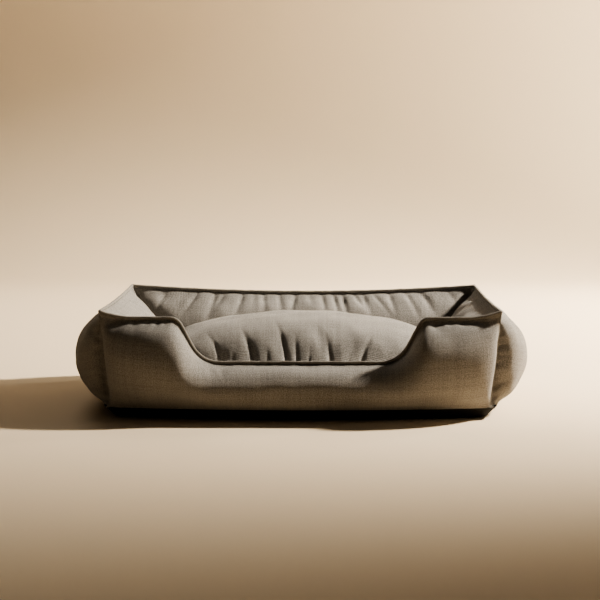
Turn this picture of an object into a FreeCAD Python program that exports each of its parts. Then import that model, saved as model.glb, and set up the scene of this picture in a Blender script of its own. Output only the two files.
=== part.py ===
import FreeCAD, Part

import math
import os

from FreeCAD import Vector

# Pet cushion bed: four fibre-filled bolster walls round a removable cushion, on a black non-slip base.
# Millimetres, +X right, -Y front (the side with the low entrance), +Z up.
# The origin is on the floor under the middle of the bed.

# Walls, measured at the sharp top edge where the outer and inner panels are sewn together
EAR_X = 375.0            # half the distance between the left and right top edges
EAR_Y = 260.0            # half the distance between the front and rear top edges
EAR_Z = 201.0            # height of the top edge at the pointed corners
FRONT_SHOULDER_Z = 189.0  # top edge of the front wall beside the entrance
REAR_MID_Z = 187.0       # lowest point of the rear top edge
SIDE_MID_Z = 197.0       # lowest point of the side top edges
SIDE_BULGE_OUT = 76.2    # how far each wall swells past its top edge
SIDE_BULGE_IN = 92.0
END_BULGE_OUT = 68.1
END_BULGE_IN = 80.0
FRONT_EXTRA_BULGE = 9.7  # the front wall swells more beside the entrance, so front and rear reach alike
CORNER_FAN = 125.0       # length over which the wall's sections turn from the mitre to square
CORNER_OUT = (3.0, -30.0)   # offsets of the outer corner seam's two middle control points
CORNER_IN = (-18.0, -55.0)  # and of the inner corner seam's
HANDLE_HIGH = 0.85       # heights of a section's middle control points, as shares of the wall's height
HANDLE_LOW = 0.12
WIDEST = 0.75            # share of its middle control points that a section reaches where it is widest
FOOT_PULL = 0.15         # and share of its foot
SWELL_SPAN = 4           # the swelling falls to nothing at the corners as (1 - share**SPAN)**ROUND
SWELL_ROUND = 0.7

# Entrance scooped out of the front wall
SCOOP_Z = 105.5          # its low edge
SCOOP_HALF_TOP = 243.0   # half its width where it leaves the shoulders
SCOOP_ANGLE = 62.0       # slope of its flanks, degrees
SCOOP_TOP_RADIUS = 20.0
SCOOP_LOW_RADIUS = 60.0

# Fabric and trim
CANVAS = 1.6             # thickness of a sewn panel
PIPING_RADIUS = 3.2
PIPING_CORD_RADIUS = 2.0
SEAM_DROP = 1.0          # depth of the flat where two panels are sewn together

# Base
BASE_Z = 22.0            # height of the black base band, where the walls are sewn on
BASE_SLOPE = 18.0        # how far the band draws in at the floor, front and sides
BASE_SKIN = 2.0
CORNER_TUCK = 8.0        # the bottom corners sit this far inside the pointed top corners
FRONT_SEAM_BOW = 33.0    # how far the bottom seam bows out at mid wall, from its corners
SIDE_SEAM_BOW = 24.0
WELL_CORNER = 65.0       # bottom of the inner corner seam, inside the top corner on both axes
WELL_SIDE_BOW = 9.0      # the inner bottom seam at mid wall, from its corners
WELL_END_BOW = -14.0

# Cushion
CUSHION_SIDE_GAP = 15.0  # between the cushion and the fullest part of the side walls
CUSHION_END_GAP = 14.0   # and of the rear wall, with room for the zip's pull
CUSHION_HALF_X = EAR_X - SIDE_BULGE_IN - CUSHION_SIDE_GAP
CUSHION_HALF_Y = EAR_Y - END_BULGE_IN - CUSHION_END_GAP
CUSHION_FRONT_BOW = 20.0  # its front edge swells into the entrance
CUSHION_CORNER = 84.0
CUSHION_SEAM_Z = 105.0   # height of the welted seam
CUSHION_CROWN = 71.0     # crown above the seam
CUSHION_LIFT_GAP = 0.4   # rests this far above the floor panel
CUSHION_FOOT_INSET = 24.0
CUSHION_TURNS = (0, 16, 34, 50, 65, 80)  # degrees of the crown's sections, from the seam upwards
WELT = 4.0               # width and height of the welt

# Zips: two sizes of the same closed coil zip
CUSHION_ZIP_LENGTH = 300.0
CASING_ZIP_LENGTH = 360.0
CUSHION_ZIP_Z = 46.0
CASING_ZIP_Z = 11.0
ZIP_HALF_OPENING = 7.0   # half the height of the tape that shows
ZIP_BAND_MARGIN = 3.0    # upright fabric above and below the opening
ZIP_TAPE_END = 10.0      # tape past each end stop
TAPE = 1.0
TAPE_SET_BACK = 0.5      # tape face below the fabric's face
COIL_HALF = 2.6
COIL_HEIGHT = 1.4
TRACK_HALF_GAP = 0.8     # half the gap between the two rows of coil
RUNNING_GAP = 0.3        # clearance of every sliding or turning zip part
SLIDER_LENGTH = 10.0
SLIDER_HALF_WIDTH = 5.0
SLIDER_PLATE = 1.2
SLIDER_POST_HALF = 2.0
SLIDER_END_GAP = 1.0     # between the slider and a stop, at either end of its travel
STOP_LENGTH = 2.5
STOP_PROUD = 0.4
PIN_RADIUS = 0.7
BARREL_WALL = 0.8
LUG_THICK = 1.2
LUG_SHORT = 0.2          # the lugs' rounds are this much smaller than the pull's barrel
PULL_LENGTH = 16.0
PULL_WIDTH = 4.0
PULL_THICK = 1.1

PARTS = "parts"
FAN_STATIONS = 6         # sections from the mitre to the end of the fan
SPAN_STATIONS = 5        # sections from the fan to mid wall
UP = Vector(0, 0, 1)


def save(name, shape):
    solids = shape.Solids
    if not solids or any(not s.isValid() or s.Volume <= 0 for s in solids):
        raise ValueError(name + " did not build as valid solids")
    result = solids[0] if len(solids) == 1 else Part.makeCompound(solids)
    result.exportStep(PARTS + "/" + name + ".step")
    print(f"{name:28s} {len(solids)} solid(s) {result.Volume:12.0f} mm3")


def box_between(low, high):
    size = [b - a for a, b in zip(low, high)]
    return Part.makeBox(*size, Vector(*low))


def blend(a, b, share):
    return a + (b - a) * share


def fan_stations(ear):
    """Distances from mid wall, from the mitred corner inwards, for a wall with a smooth top edge."""
    outer = [ear - CORNER_FAN * k / FAN_STATIONS for k in range(FAN_STATIONS)]
    inner = [(ear - CORNER_FAN) * (1 - k / SPAN_STATIONS) for k in range(SPAN_STATIONS + 1)]
    return outer + inner


def both_ways(half):
    """Mirror a list of (position, height) that runs from the corner to mid wall."""
    return [(-x, z) for x, z in half] + [(x, z) for x, z in reversed(half[:-1])]


def sagging_top(ear, middle_z):
    return both_ways([(x, blend(middle_z, EAR_Z, (x / ear) ** 2)) for x in fan_stations(ear)])


def scooped_top():
    """Top edge of the front wall: shoulder, tight arc, steep flank, wide arc, low straight edge."""
    slope = math.radians(SCOOP_ANGLE)
    arc_drop = (SCOOP_TOP_RADIUS + SCOOP_LOW_RADIUS) * (1 - math.cos(slope))
    flank = (FRONT_SHOULDER_Z - SCOOP_Z - arc_drop) / math.sin(slope)
    low_end = (SCOOP_HALF_TOP - (SCOOP_TOP_RADIUS + SCOOP_LOW_RADIUS) * math.sin(slope)
               - flank * math.cos(slope))
    shoulder = 0.5 * (SCOOP_HALF_TOP + EAR_X)
    edge = []
    steps = 2 * FAN_STATIONS
    for k in range(steps):
        x = blend(EAR_X, SCOOP_HALF_TOP, k / steps)
        rise = max(0.0, (x - shoulder) / (EAR_X - shoulder)) ** 2
        edge.append((x, blend(FRONT_SHOULDER_Z, EAR_Z, rise)))
    for k in range(5):
        turn = slope * k / 4
        edge.append((SCOOP_HALF_TOP - SCOOP_TOP_RADIUS * math.sin(turn),
                     FRONT_SHOULDER_Z - SCOOP_TOP_RADIUS * (1 - math.cos(turn))))
    for k in range(7):
        turn = slope * (1 - k / 6)
        edge.append((low_end + SCOOP_LOW_RADIUS * math.sin(turn),
                     SCOOP_Z + SCOOP_LOW_RADIUS * (1 - math.cos(turn))))
    edge += [(low_end * (1 - k / 4), SCOOP_Z) for k in range(1, 5)]
    return both_ways(edge)


class Wall:
    """One bolster wall. Offsets are measured square to its top edge, outwards positive."""

    def __init__(self, ear, reach, turn, top, bulge_out, bulge_in, seam_bow, well_bow, piping_gap):
        self.ear = ear              # half its length at the top edge
        self.reach = reach          # distance of its top edge from the middle of the bed
        self.turn = math.radians(turn)
        self.top = top
        self.bulge_out = bulge_out
        self.bulge_in = bulge_in
        self.seam_bow = seam_bow
        self.well_bow = well_bow
        self.piping_gap = piping_gap  # its piping stops this far short of the corners
        self.tallest = max(z for _, z in top) - BASE_Z

    def place(self, along, offset, z):
        """A point of the wall; near a corner the section fans out towards the mitre."""
        fan = max(0.0, (abs(along) - (self.ear - CORNER_FAN)) / CORNER_FAN)
        x = along + math.copysign(1, along) * offset * fan
        y = -(self.reach + offset)
        c, s = math.cos(self.turn), math.sin(self.turn)
        return Vector(c * x - s * y, s * x + c * y, z)

    def controls(self, along, top_z, inside):
        """Offset and height of the four control points of one face of the wall."""
        share = abs(along) / self.ear
        height = top_z - BASE_Z
        swell = (1 - share ** SWELL_SPAN) ** SWELL_ROUND * math.sqrt(height / self.tallest)
        if inside:
            corner = CORNER_IN
            foot = -WELL_CORNER - self.well_bow * (1 - share ** 2)
            full = -(self.bulge_in + FOOT_PULL * foot) / WIDEST
        else:
            corner = CORNER_OUT
            foot = -CORNER_TUCK + self.seam_bow * (1 - share ** 2)
            full = (self.bulge_out - FOOT_PULL * foot) / WIDEST
        high = BASE_Z + HANDLE_HIGH * height
        low = BASE_Z + HANDLE_LOW * height
        return [(0.0, top_z), (blend(corner[0], full, swell), high),
                (blend(corner[1], full, swell), low), (foot, BASE_Z)]

    def face_curve(self, along, top_z, inside, inset):
        """The face's section, moved into the wall by inset."""
        points = self.controls(along, top_z, inside)
        if inset:
            step = inset if inside else -inset
            (_, z0), (o1, z1), (o2, z2), (o3, z3) = points
            points = [(0.0, z0 - SEAM_DROP), (o1 + step, z1 - inset), (o2 + step, z2), (o3 + step, z3)]
        curve = Part.BezierCurve()
        curve.setPoles([self.place(along, offset, z) for offset, z in points])
        return curve.toShape()

    def panel(self, inside):
        """A sewn panel between the face and the filling."""
        sections = []
        for along, top_z in self.top:
            face = self.face_curve(along, top_z, inside, 0.0)
            back = self.face_curve(along, top_z, inside, CANVAS)
            foot = Part.makeLine(face.Vertexes[-1].Point, back.Vertexes[-1].Point)
            seam = Part.makeLine(back.Vertexes[0].Point, face.Vertexes[0].Point)
            sections.append(Part.Wire([face, foot, back, seam]))
        return Part.makeLoft(sections, True, True)

    def filling(self):
        sections = []
        for along, top_z in self.top:
            outer = self.face_curve(along, top_z, False, CANVAS)
            inner = self.face_curve(along, top_z, True, CANVAS)
            foot = Part.makeLine(outer.Vertexes[-1].Point, inner.Vertexes[-1].Point)
            sections.append(Part.Wire([outer, foot, inner]))
        return Part.makeLoft(sections, True, True)

    def tube(self, radius):
        """A round along the top edge, sitting on the seam; one section at each station."""
        end = self.ear - self.piping_gap
        points = [self.place(max(-end, min(end, along)), 0.0, z) for along, z in self.top]
        sideways = self.place(0.0, 1.0, 0.0) - self.place(0.0, 0.0, 0.0)
        sections = []
        for k, point in enumerate(points):
            before = points[max(k - 1, 0)]
            after = points[min(k + 1, len(points) - 1)]
            if k in (0, len(points) - 1):
                tangent = after - before
            else:
                tangent = (point - before).normalize() + (after - point).normalize()
            tangent.normalize()
            normal = sideways.cross(tangent)
            if normal.z < 0:
                normal = -normal
            circle = Part.Circle(point + normal * PIPING_RADIUS, tangent, radius)
            sections.append(Part.Wire([circle.toShape()]))
        return Part.makeLoft(sections, True, True)


def build_walls():
    walls = {
        "front": Wall(EAR_X, EAR_Y, 0, scooped_top(), END_BULGE_OUT + FRONT_EXTRA_BULGE, END_BULGE_IN,
                      FRONT_SEAM_BOW, WELL_END_BOW, 0.0),
        "right": Wall(EAR_Y, EAR_X, 90, sagging_top(EAR_Y, SIDE_MID_Z), SIDE_BULGE_OUT, SIDE_BULGE_IN,
                      SIDE_SEAM_BOW, WELL_SIDE_BOW, PIPING_RADIUS),
        "rear": Wall(EAR_X, EAR_Y, 180, sagging_top(EAR_X, REAR_MID_Z), END_BULGE_OUT, END_BULGE_IN,
                     0.0, WELL_END_BOW, 0.0),
        "left": Wall(EAR_Y, EAR_X, 270, sagging_top(EAR_Y, SIDE_MID_Z), SIDE_BULGE_OUT, SIDE_BULGE_IN,
                     SIDE_SEAM_BOW, WELL_SIDE_BOW, PIPING_RADIUS),
    }
    for side, wall in walls.items():
        save(side + "_outer_panel", wall.panel(False))
        save(side + "_inner_panel", wall.panel(True))
        save(side + "_bolster_fill", wall.filling())
        cord = wall.tube(PIPING_CORD_RADIUS)
        save(side + "_piping_cord", cord)
        save(side + "_piping_cover", wall.tube(PIPING_RADIUS).cut(cord))


def base_outline(z, inset):
    """The base's outline at one height: four bowed sides with pointed corners."""
    draw_in = BASE_SLOPE * (1 - z / BASE_Z)
    corner_x = EAR_X - CORNER_TUCK - draw_in - inset
    front_y = EAR_Y - CORNER_TUCK - draw_in - inset
    rear_y = EAR_Y - CORNER_TUCK - inset
    corners = [Vector(-corner_x, -front_y, z), Vector(corner_x, -front_y, z),
               Vector(corner_x, rear_y, z), Vector(-corner_x, rear_y, z)]
    side = corner_x + SIDE_SEAM_BOW
    bowed = [Vector(0, -front_y - FRONT_SEAM_BOW, z), Vector(side, 0, z), None, Vector(-side, 0, z)]
    edges = []
    for k, middle in enumerate(bowed):
        start, end = corners[k], corners[(k + 1) % 4]
        straight = Part.makeLine(start, end)
        edges.append(Part.Arc(start, middle, end).toShape() if middle else straight)
    return Part.Wire(edges)


def build_base():
    outer = Part.makeLoft([base_outline(0.0, 0.0), base_outline(BASE_Z, 0.0)], True, True)
    inner = Part.makeLoft([base_outline(0.0, BASE_SKIN), base_outline(BASE_Z, BASE_SKIN)], True, True)
    reach = 2 * (EAR_X + SIDE_SEAM_BOW)
    slab = box_between((-reach, -reach, BASE_SKIN), (reach, reach, BASE_Z))
    inner = inner.common(slab)
    floor_z = BASE_Z - CANVAS
    under = box_between((-reach, -reach, 0.0), (reach, reach, floor_z))
    opening = zip_opening(CASING_ZIP_LENGTH, BASE_SKIN)
    groove = zip_groove(CASING_ZIP_LENGTH, BASE_SKIN)
    for cutter in (opening, groove):
        cutter.translate(Vector(0, EAR_Y - CORNER_TUCK, CASING_ZIP_Z))
    save("base_nonslip_panel", outer.cut(inner).cut(opening))
    save("base_foam_pad", inner.common(under).cut(groove))
    save("base_floor_panel", inner.cut(under))


def cushion_outline(z, inset, shrink):
    """Rounded rectangle at one height; inset is in from the skin, shrink scales the crown."""
    half_x = CUSHION_HALF_X * shrink - inset
    half_y = CUSHION_HALF_Y * shrink - inset
    r = CUSHION_CORNER * shrink - inset
    edges = []
    for quarter in range(4):
        sign_x = (1, -1, -1, 1)[quarter]
        sign_y = (1, 1, -1, -1)[quarter]
        centre = Vector(sign_x * (half_x - r), sign_y * (half_y - r), z)
        circle = Part.Circle(centre, UP, r)
        start = math.pi / 2 * quarter
        edges.append(circle.toShape(start, start + math.pi / 2))
        nxt = (quarter + 1) % 4
        next_x = (1, -1, -1, 1)[nxt]
        next_y = (1, 1, -1, -1)[nxt]
        turned = Vector(math.cos(start + math.pi / 2) * r, math.sin(start + math.pi / 2) * r, 0)
        far = Vector(next_x * (half_x - r), next_y * (half_y - r), z) + turned
        if quarter == 2:
            middle = Vector(0, -half_y - CUSHION_FRONT_BOW * shrink, z)
            edges.append(Part.Arc(centre + turned, middle, far).toShape())
        else:
            edges.append(Part.makeLine(centre + turned, far))
    return Part.Wire(edges)


def crown_rows(inset):
    """Heights and shrinks from the seam to the crown."""
    rows = []
    for turn in CUSHION_TURNS:
        angle = math.radians(turn)
        rows.append((CUSHION_SEAM_Z + (CUSHION_CROWN - inset) * math.sin(angle), math.cos(angle)))
    return rows


def build_cushion():
    foot_z = BASE_Z + CUSHION_LIFT_GAP

    def upper(inset):
        return Part.makeLoft([cushion_outline(z, inset * shrink, shrink) for z, shrink in crown_rows(inset)],
                             True, True)

    def lower(inset):
        zip_low = CUSHION_ZIP_Z - ZIP_HALF_OPENING - ZIP_BAND_MARGIN
        zip_high = CUSHION_ZIP_Z + ZIP_HALF_OPENING + ZIP_BAND_MARGIN
        rows = [(foot_z + inset, CUSHION_FOOT_INSET), (zip_low, 0.0), (zip_high, 0.0), (CUSHION_SEAM_Z, 0.0)]
        return Part.makeLoft([cushion_outline(z, inset + foot, 1.0) for z, foot in rows], True, True)

    opening = zip_opening(CUSHION_ZIP_LENGTH, CANVAS)
    groove = zip_groove(CUSHION_ZIP_LENGTH, CANVAS)
    for cutter in (opening, groove):
        cutter.translate(Vector(0, CUSHION_HALF_Y, CUSHION_ZIP_Z))
    save("cushion_top_panel", upper(0.0).cut(upper(CANVAS)))
    save("cushion_bottom_panel", lower(0.0).cut(lower(CANVAS)).cut(opening))
    save("cushion_fill", upper(CANVAS).fuse(lower(CANVAS)).removeSplitter().cut(groove))

    welt_z = CUSHION_SEAM_Z - WELT / 2
    around = Part.Face(cushion_outline(welt_z, -WELT, 1.0)).extrude(Vector(0, 0, WELT))
    skin = Part.Face(cushion_outline(welt_z, 0.0, 1.0)).extrude(Vector(0, 0, WELT))
    save("cushion_welt", around.cut(skin))


# A zip is drawn along X with its tape facing +Y, and moved to its place.

def zip_opening(length, skin):
    half = length / 2 + ZIP_TAPE_END
    return box_between((-half, -skin, -ZIP_HALF_OPENING), (half, skin, ZIP_HALF_OPENING))


def slider_back():
    """Depth of the slider's inner face below the fabric's face."""
    return TAPE_SET_BACK + TAPE + RUNNING_GAP + SLIDER_PLATE


def zip_groove(length, skin):
    half = length / 2 + ZIP_TAPE_END
    depth = slider_back() + RUNNING_GAP
    width = SLIDER_HALF_WIDTH + 2 * RUNNING_GAP
    return box_between((-half, -depth, -width), (half, -min(skin, TAPE_SET_BACK + TAPE), width))


def build_zip(name, length, y, z):
    """Tapes, coil, stops, slider and pull. The slider rests closed at the +X end."""
    place = Vector(0, y, z)
    half = length / 2
    tape_half = half + ZIP_TAPE_END
    tape_face = -TAPE_SET_BACK
    tape_back = tape_face - TAPE
    coil_top = tape_face + COIL_HEIGHT
    slit = TRACK_HALF_GAP

    def put(node, shape):
        shape.translate(place)
        save(name + "_" + node, shape)

    for word, side in (("upper", 1), ("lower", -1)):
        low, high = sorted((side * slit, side * ZIP_HALF_OPENING))
        put("tape_" + word, box_between((-tape_half, tape_back, low), (tape_half, tape_face, high)))

    rows = []
    for side in (1, -1):
        low, high = sorted((side * slit, side * COIL_HALF))
        rows.append(box_between((-half, tape_face, low), (half, coil_top, high)))
    put("coil", Part.makeCompound(rows))

    stops = []
    for side in (1, -1):
        low, high = sorted((side * half, side * (half + STOP_LENGTH)))
        stops.append(box_between((low, tape_face, -COIL_HALF), (high, coil_top + STOP_PROUD, COIL_HALF)))
    put("stops", Part.makeCompound(stops))

    middle = half - SLIDER_LENGTH / 2 - SLIDER_END_GAP
    front, back = middle + SLIDER_LENGTH / 2, middle - SLIDER_LENGTH / 2
    width = SLIDER_HALF_WIDTH
    plate_low = coil_top + RUNNING_GAP
    plate_high = plate_low + SLIDER_PLATE
    inner_high = tape_back - RUNNING_GAP
    inner_low = inner_high - SLIDER_PLATE
    flange_low = tape_face + RUNNING_GAP
    flange_z = COIL_HALF + 2 * RUNNING_GAP
    post = slit - RUNNING_GAP
    slider = box_between((back, plate_low, -width), (front, plate_high, width))
    slider = slider.fuse(box_between((back, inner_low, -width), (front, inner_high, width)))
    slider = slider.fuse(box_between((middle - SLIDER_POST_HALF, inner_high, -post),
                                     (middle + SLIDER_POST_HALF, plate_low, post)))
    for side in (1, -1):
        low, high = sorted((side * flange_z, side * width))
        slider = slider.fuse(box_between((back, flange_low, low), (front, plate_low, high)))
    barrel = PIN_RADIUS + RUNNING_GAP + BARREL_WALL
    pin_y = plate_high + RUNNING_GAP + barrel
    pin_x = middle
    half_pull = PULL_WIDTH / 2
    lug_in = half_pull + RUNNING_GAP
    lug_out = lug_in + LUG_THICK
    lug_radius = barrel - LUG_SHORT
    for side in (1, -1):
        low, high = sorted((side * lug_in, side * lug_out))
        lug = Part.makeCylinder(lug_radius, high - low, Vector(pin_x, pin_y, low), UP)
        root = box_between((pin_x - lug_radius, plate_high, low), (pin_x + lug_radius, pin_y, high))
        slider = slider.fuse(lug).fuse(root)
    pin = Part.makeCylinder(PIN_RADIUS, 2 * lug_in, Vector(pin_x, pin_y, -lug_in), UP)
    put("slider", slider.fuse(pin).removeSplitter())

    pull = Part.makeCylinder(barrel, PULL_WIDTH, Vector(pin_x, pin_y, -half_pull), UP)
    leaf = box_between((pin_x - PULL_LENGTH, pin_y - PULL_THICK / 2, -half_pull),
                       (pin_x, pin_y + PULL_THICK / 2, half_pull))
    bore = Part.makeCylinder(PIN_RADIUS + RUNNING_GAP, PULL_WIDTH, Vector(pin_x, pin_y, -half_pull), UP)
    put("pull", pull.fuse(leaf).cut(bore).removeSplitter())
    print(f"{name}: slider pin at x {pin_x:.3f} y {y + pin_y:.3f} z {z:.3f}, "
          f"travel {-(length - SLIDER_LENGTH - 2 * SLIDER_END_GAP):.1f}")


os.makedirs(PARTS, exist_ok=True)
build_walls()
build_base()
build_cushion()
build_zip("cushion_zip", CUSHION_ZIP_LENGTH, CUSHION_HALF_Y, CUSHION_ZIP_Z)
build_zip("casing_zip", CASING_ZIP_LENGTH, EAR_Y - CORNER_TUCK, CASING_ZIP_Z)
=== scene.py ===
import math

import bpy
import numpy as np
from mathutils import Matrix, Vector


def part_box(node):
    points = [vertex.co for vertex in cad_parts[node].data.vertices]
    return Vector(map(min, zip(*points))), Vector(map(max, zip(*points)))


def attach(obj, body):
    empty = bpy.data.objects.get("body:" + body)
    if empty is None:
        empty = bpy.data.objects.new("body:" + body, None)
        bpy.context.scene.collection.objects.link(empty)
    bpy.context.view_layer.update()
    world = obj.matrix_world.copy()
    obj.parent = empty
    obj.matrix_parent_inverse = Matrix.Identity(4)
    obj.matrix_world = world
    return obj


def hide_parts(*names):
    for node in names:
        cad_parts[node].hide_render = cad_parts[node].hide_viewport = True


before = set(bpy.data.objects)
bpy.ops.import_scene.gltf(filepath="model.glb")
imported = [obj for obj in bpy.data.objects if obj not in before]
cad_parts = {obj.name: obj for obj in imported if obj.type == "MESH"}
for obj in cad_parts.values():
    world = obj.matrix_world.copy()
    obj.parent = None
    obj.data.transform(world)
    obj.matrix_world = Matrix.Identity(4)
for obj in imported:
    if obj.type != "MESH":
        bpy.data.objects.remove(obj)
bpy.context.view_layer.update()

# ---------------------------------------------------------------------------------------------
# Studio: a pale floor that sweeps up behind the bed, a key light from the right that throws a
# long shadow, weak fills from the right and the rear, and a glow on the backdrop. Not the bed.
# ---------------------------------------------------------------------------------------------

CAMERA_PLACE = (0.040, -3.196, 0.530)
CAMERA_DOWN = math.radians(5.91)
CAMERA_LEFT = math.radians(0.78)
LENS = 95.04
FLOOR_HALF_WIDTH = 12.0
FLOOR_FRONT_Y = -16.0
SWEEP_START_Y = 2.6
SWEEP_RADIUS = 1.2
BACKDROP_TOP = 4.5
WARM_WHITE = (1.0, 0.91, 0.80)
WORLD_STRENGTH = 0.050


class Maths:
    """A socket or number in a node tree; its operators add Math nodes."""

    def __init__(self, tree, value):
        self.tree = tree
        self.value = value

    def _node(self, operation, *values):
        node = self.tree.nodes.new("ShaderNodeMath")
        node.operation = operation
        for socket, value in zip(node.inputs, values):
            value = value.value if isinstance(value, Maths) else value
            if isinstance(value, (int, float)):
                socket.default_value = value
            else:
                self.tree.links.new(value, socket)
        return Maths(self.tree, node.outputs[0])

    def __add__(self, other):
        return self._node("ADD", self, other)

    def __sub__(self, other):
        return self._node("SUBTRACT", self, other)

    def __mul__(self, other):
        return self._node("MULTIPLY", self, other)

    def __truediv__(self, other):
        return self._node("DIVIDE", self, other)

    def __rsub__(self, other):
        return self._node("SUBTRACT", other, self)

    __radd__ = __add__
    __rmul__ = __mul__

    def apply(self, operation, *others):
        return self._node(operation, self, *others)

    def within(self, low, high):
        return self.apply("MAXIMUM", low).apply("MINIMUM", high)


class Finish:
    """A material being built: add() puts in any node by its type."""

    def __init__(self, name, base, roughness, sheen=0.0):
        self.material = bpy.data.materials.new(name)
        self.material.use_nodes = True
        self.tree = self.material.node_tree
        self.shader = self.tree.nodes["Principled BSDF"]
        self.shader.inputs["Base Color"].default_value = (*base, 1.0)
        self.shader.inputs["Roughness"].default_value = roughness
        self.shader.inputs["Sheen Weight"].default_value = sheen
        self.shader.inputs["Sheen Roughness"].default_value = 0.4
        self.material.diffuse_color = (*base, 1.0)

    def add(self, kind, settings=None, **sockets):
        node = self.tree.nodes.new("ShaderNode" + kind)
        for key, value in (settings or {}).items():
            setattr(node, key, value)
        for key, value in sockets.items():
            socket = node.inputs[int(key[1:])] if key[0] == "_" else node.inputs[key.replace("_", " ")]
            value = value.value if isinstance(value, Maths) else value
            if isinstance(value, bpy.types.NodeSocket):
                self.tree.links.new(value, socket)
            else:
                socket.default_value = value
        return node

    def value(self, socket):
        return Maths(self.tree, socket)

    def feed(self, **sockets):
        for key, value in sockets.items():
            value = value.value if isinstance(value, Maths) else value
            self.tree.links.new(value, self.shader.inputs[key.replace("_", " ")])

    def place(self, x=1.0, y=1.0, z=1.0):
        """Object coordinates in metres, each axis multiplied."""
        where = self.add("TexCoord").outputs["Object"]
        return self.add("Mapping", None, Vector=where, Scale=(x, y, z)).outputs[0]

    def noise(self, where, scale, detail=2.0, flat=False):
        settings = {"noise_dimensions": "2D"} if flat else None
        node = self.add("TexNoise", settings, Vector=where, Scale=scale, Detail=detail)
        return self.value(node.outputs[0])

    def tint(self, factor, low, high):
        """Base colour between low and high."""
        mix = self.add("Mix", {"data_type": "RGBA"}, _0=factor.within(0.0, 1.0),
                       _6=(*low, 1.0), _7=(*high, 1.0))
        self.feed(Base_Color=mix.outputs[2])

    def relief(self, height, depth, strength=1.0):
        bump = self.add("Bump", None, Height=height, Distance=depth, Strength=strength)
        self.feed(Normal=bump.outputs[0])


def make_object(name, vertices, faces, material=None, uv=None):
    """A mesh object at the origin; uv gives each vertex its place on the flat cloth, in metres."""
    mesh = bpy.data.meshes.new(name)
    mesh.from_pydata(np.asarray(vertices, float).tolist(), [], faces)
    if uv is not None:
        layer = mesh.uv_layers.new(name="cloth")
        corners = np.zeros(len(mesh.loops), np.int32)
        mesh.loops.foreach_get("vertex_index", corners)
        layer.data.foreach_set("uv", np.asarray(uv, np.float32)[corners].ravel())
    mesh.polygons.foreach_set("use_smooth", [True] * len(mesh.polygons))
    piece = bpy.data.objects.new(name, mesh)
    bpy.context.scene.collection.objects.link(piece)
    if material is not None:
        mesh.materials.append(material)
    mesh.update()
    return piece


def grid_faces(rows, columns, closed=False, flip=False):
    """Quads of a grid of rows x columns points; closed joins the last row to the first."""
    faces = []
    for i in range(rows if closed else rows - 1):
        for j in range(columns - 1):
            a, b = i * columns + j, ((i + 1) % rows) * columns + j
            quad = (a, b, b + 1, a + 1)
            faces.append(quad[::-1] if flip else quad)
    return faces


def studio():
    paper = Finish("backdrop_paper", (0.83, 0.685, 0.50), 0.9)
    turns = np.linspace(0.0, math.pi / 2, 24)
    sweep = np.stack([SWEEP_START_Y + SWEEP_RADIUS * np.sin(turns), SWEEP_RADIUS * (1 - np.cos(turns))], 1)
    top_of_backdrop = (SWEEP_START_Y + SWEEP_RADIUS, BACKDROP_TOP)
    profile = np.concatenate([[(FLOOR_FRONT_Y, 0.0)], sweep, [top_of_backdrop]])
    vertices = [(x, y, z) for x in (-FLOOR_HALF_WIDTH, FLOOR_HALF_WIDTH) for y, z in profile]
    floor = make_object("floor", vertices, grid_faces(2, len(profile)), paper.material)

    def lamp(name, place, aim, size, power, colour, cone=None, softness=1.0):
        light = bpy.data.lights.new(name, "SPOT" if cone else "AREA")
        if cone:
            light.spot_size = math.radians(cone)
            light.spot_blend = softness
            light.shadow_soft_size = size / 2
        else:
            light.shape = "DISK"
            light.size = size
        light.energy = power
        light.color = colour
        holder = bpy.data.objects.new(name, light)
        bpy.context.scene.collection.objects.link(holder)
        direction = np.array(aim) - np.array(place)
        flat = math.hypot(direction[0], direction[1])
        holder.location = place
        turn = math.atan2(direction[1], direction[0]) - math.pi / 2
        holder.rotation_euler = (math.atan2(flat, -direction[2]), 0.0, turn)

    lamp("key", (2.75, 0.64, 2.27), (0.5, 0.99, 0.0), 0.34, 1060.0, (1.0, 0.94, 0.85),
         cone=79.0, softness=0.9)
    lamp("right_fill", (3.4, -0.5, 0.9), (0.1, 0.0, 0.1), 0.9, 10.0, (1.0, 0.91, 0.79))
    lamp("rear_fill", (-1.2, 2.4, 2.2), (0.0, 0.0, 0.1), 1.6, 20.0, WARM_WHITE)
    lamp("backdrop_glow", (2.9, 1.9, 1.7), (1.3, 3.7, 0.8), 1.2, 112.0, (1.0, 0.93, 0.82))
    world = bpy.data.worlds.new("studio")
    world.use_nodes = True
    background = world.node_tree.nodes["Background"]
    background.inputs["Color"].default_value = (*WARM_WHITE, 1.0)
    background.inputs["Strength"].default_value = WORLD_STRENGTH
    bpy.context.scene.world = world
    bpy.context.scene.view_settings.look = "AgX - High Contrast"

    camera = bpy.data.cameras.new("camera")
    camera.lens = LENS
    camera.sensor_width = 36.0
    camera.clip_end = 30.0
    holder = bpy.data.objects.new("camera", camera)
    bpy.context.scene.collection.objects.link(holder)
    holder.location = CAMERA_PLACE
    holder.rotation_euler = (math.pi / 2 - CAMERA_DOWN, 0.0, CAMERA_LEFT)
    bpy.context.scene.camera = holder


studio()

# ---------------------------------------------------------------------------------------------
# Base tray: black coated fabric with a grippy pebbled face, folded up round the pad and sewn to
# the foot of the walls. Its rear band holds the casing zip; small rubber dots grip the floor.
# ---------------------------------------------------------------------------------------------

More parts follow.
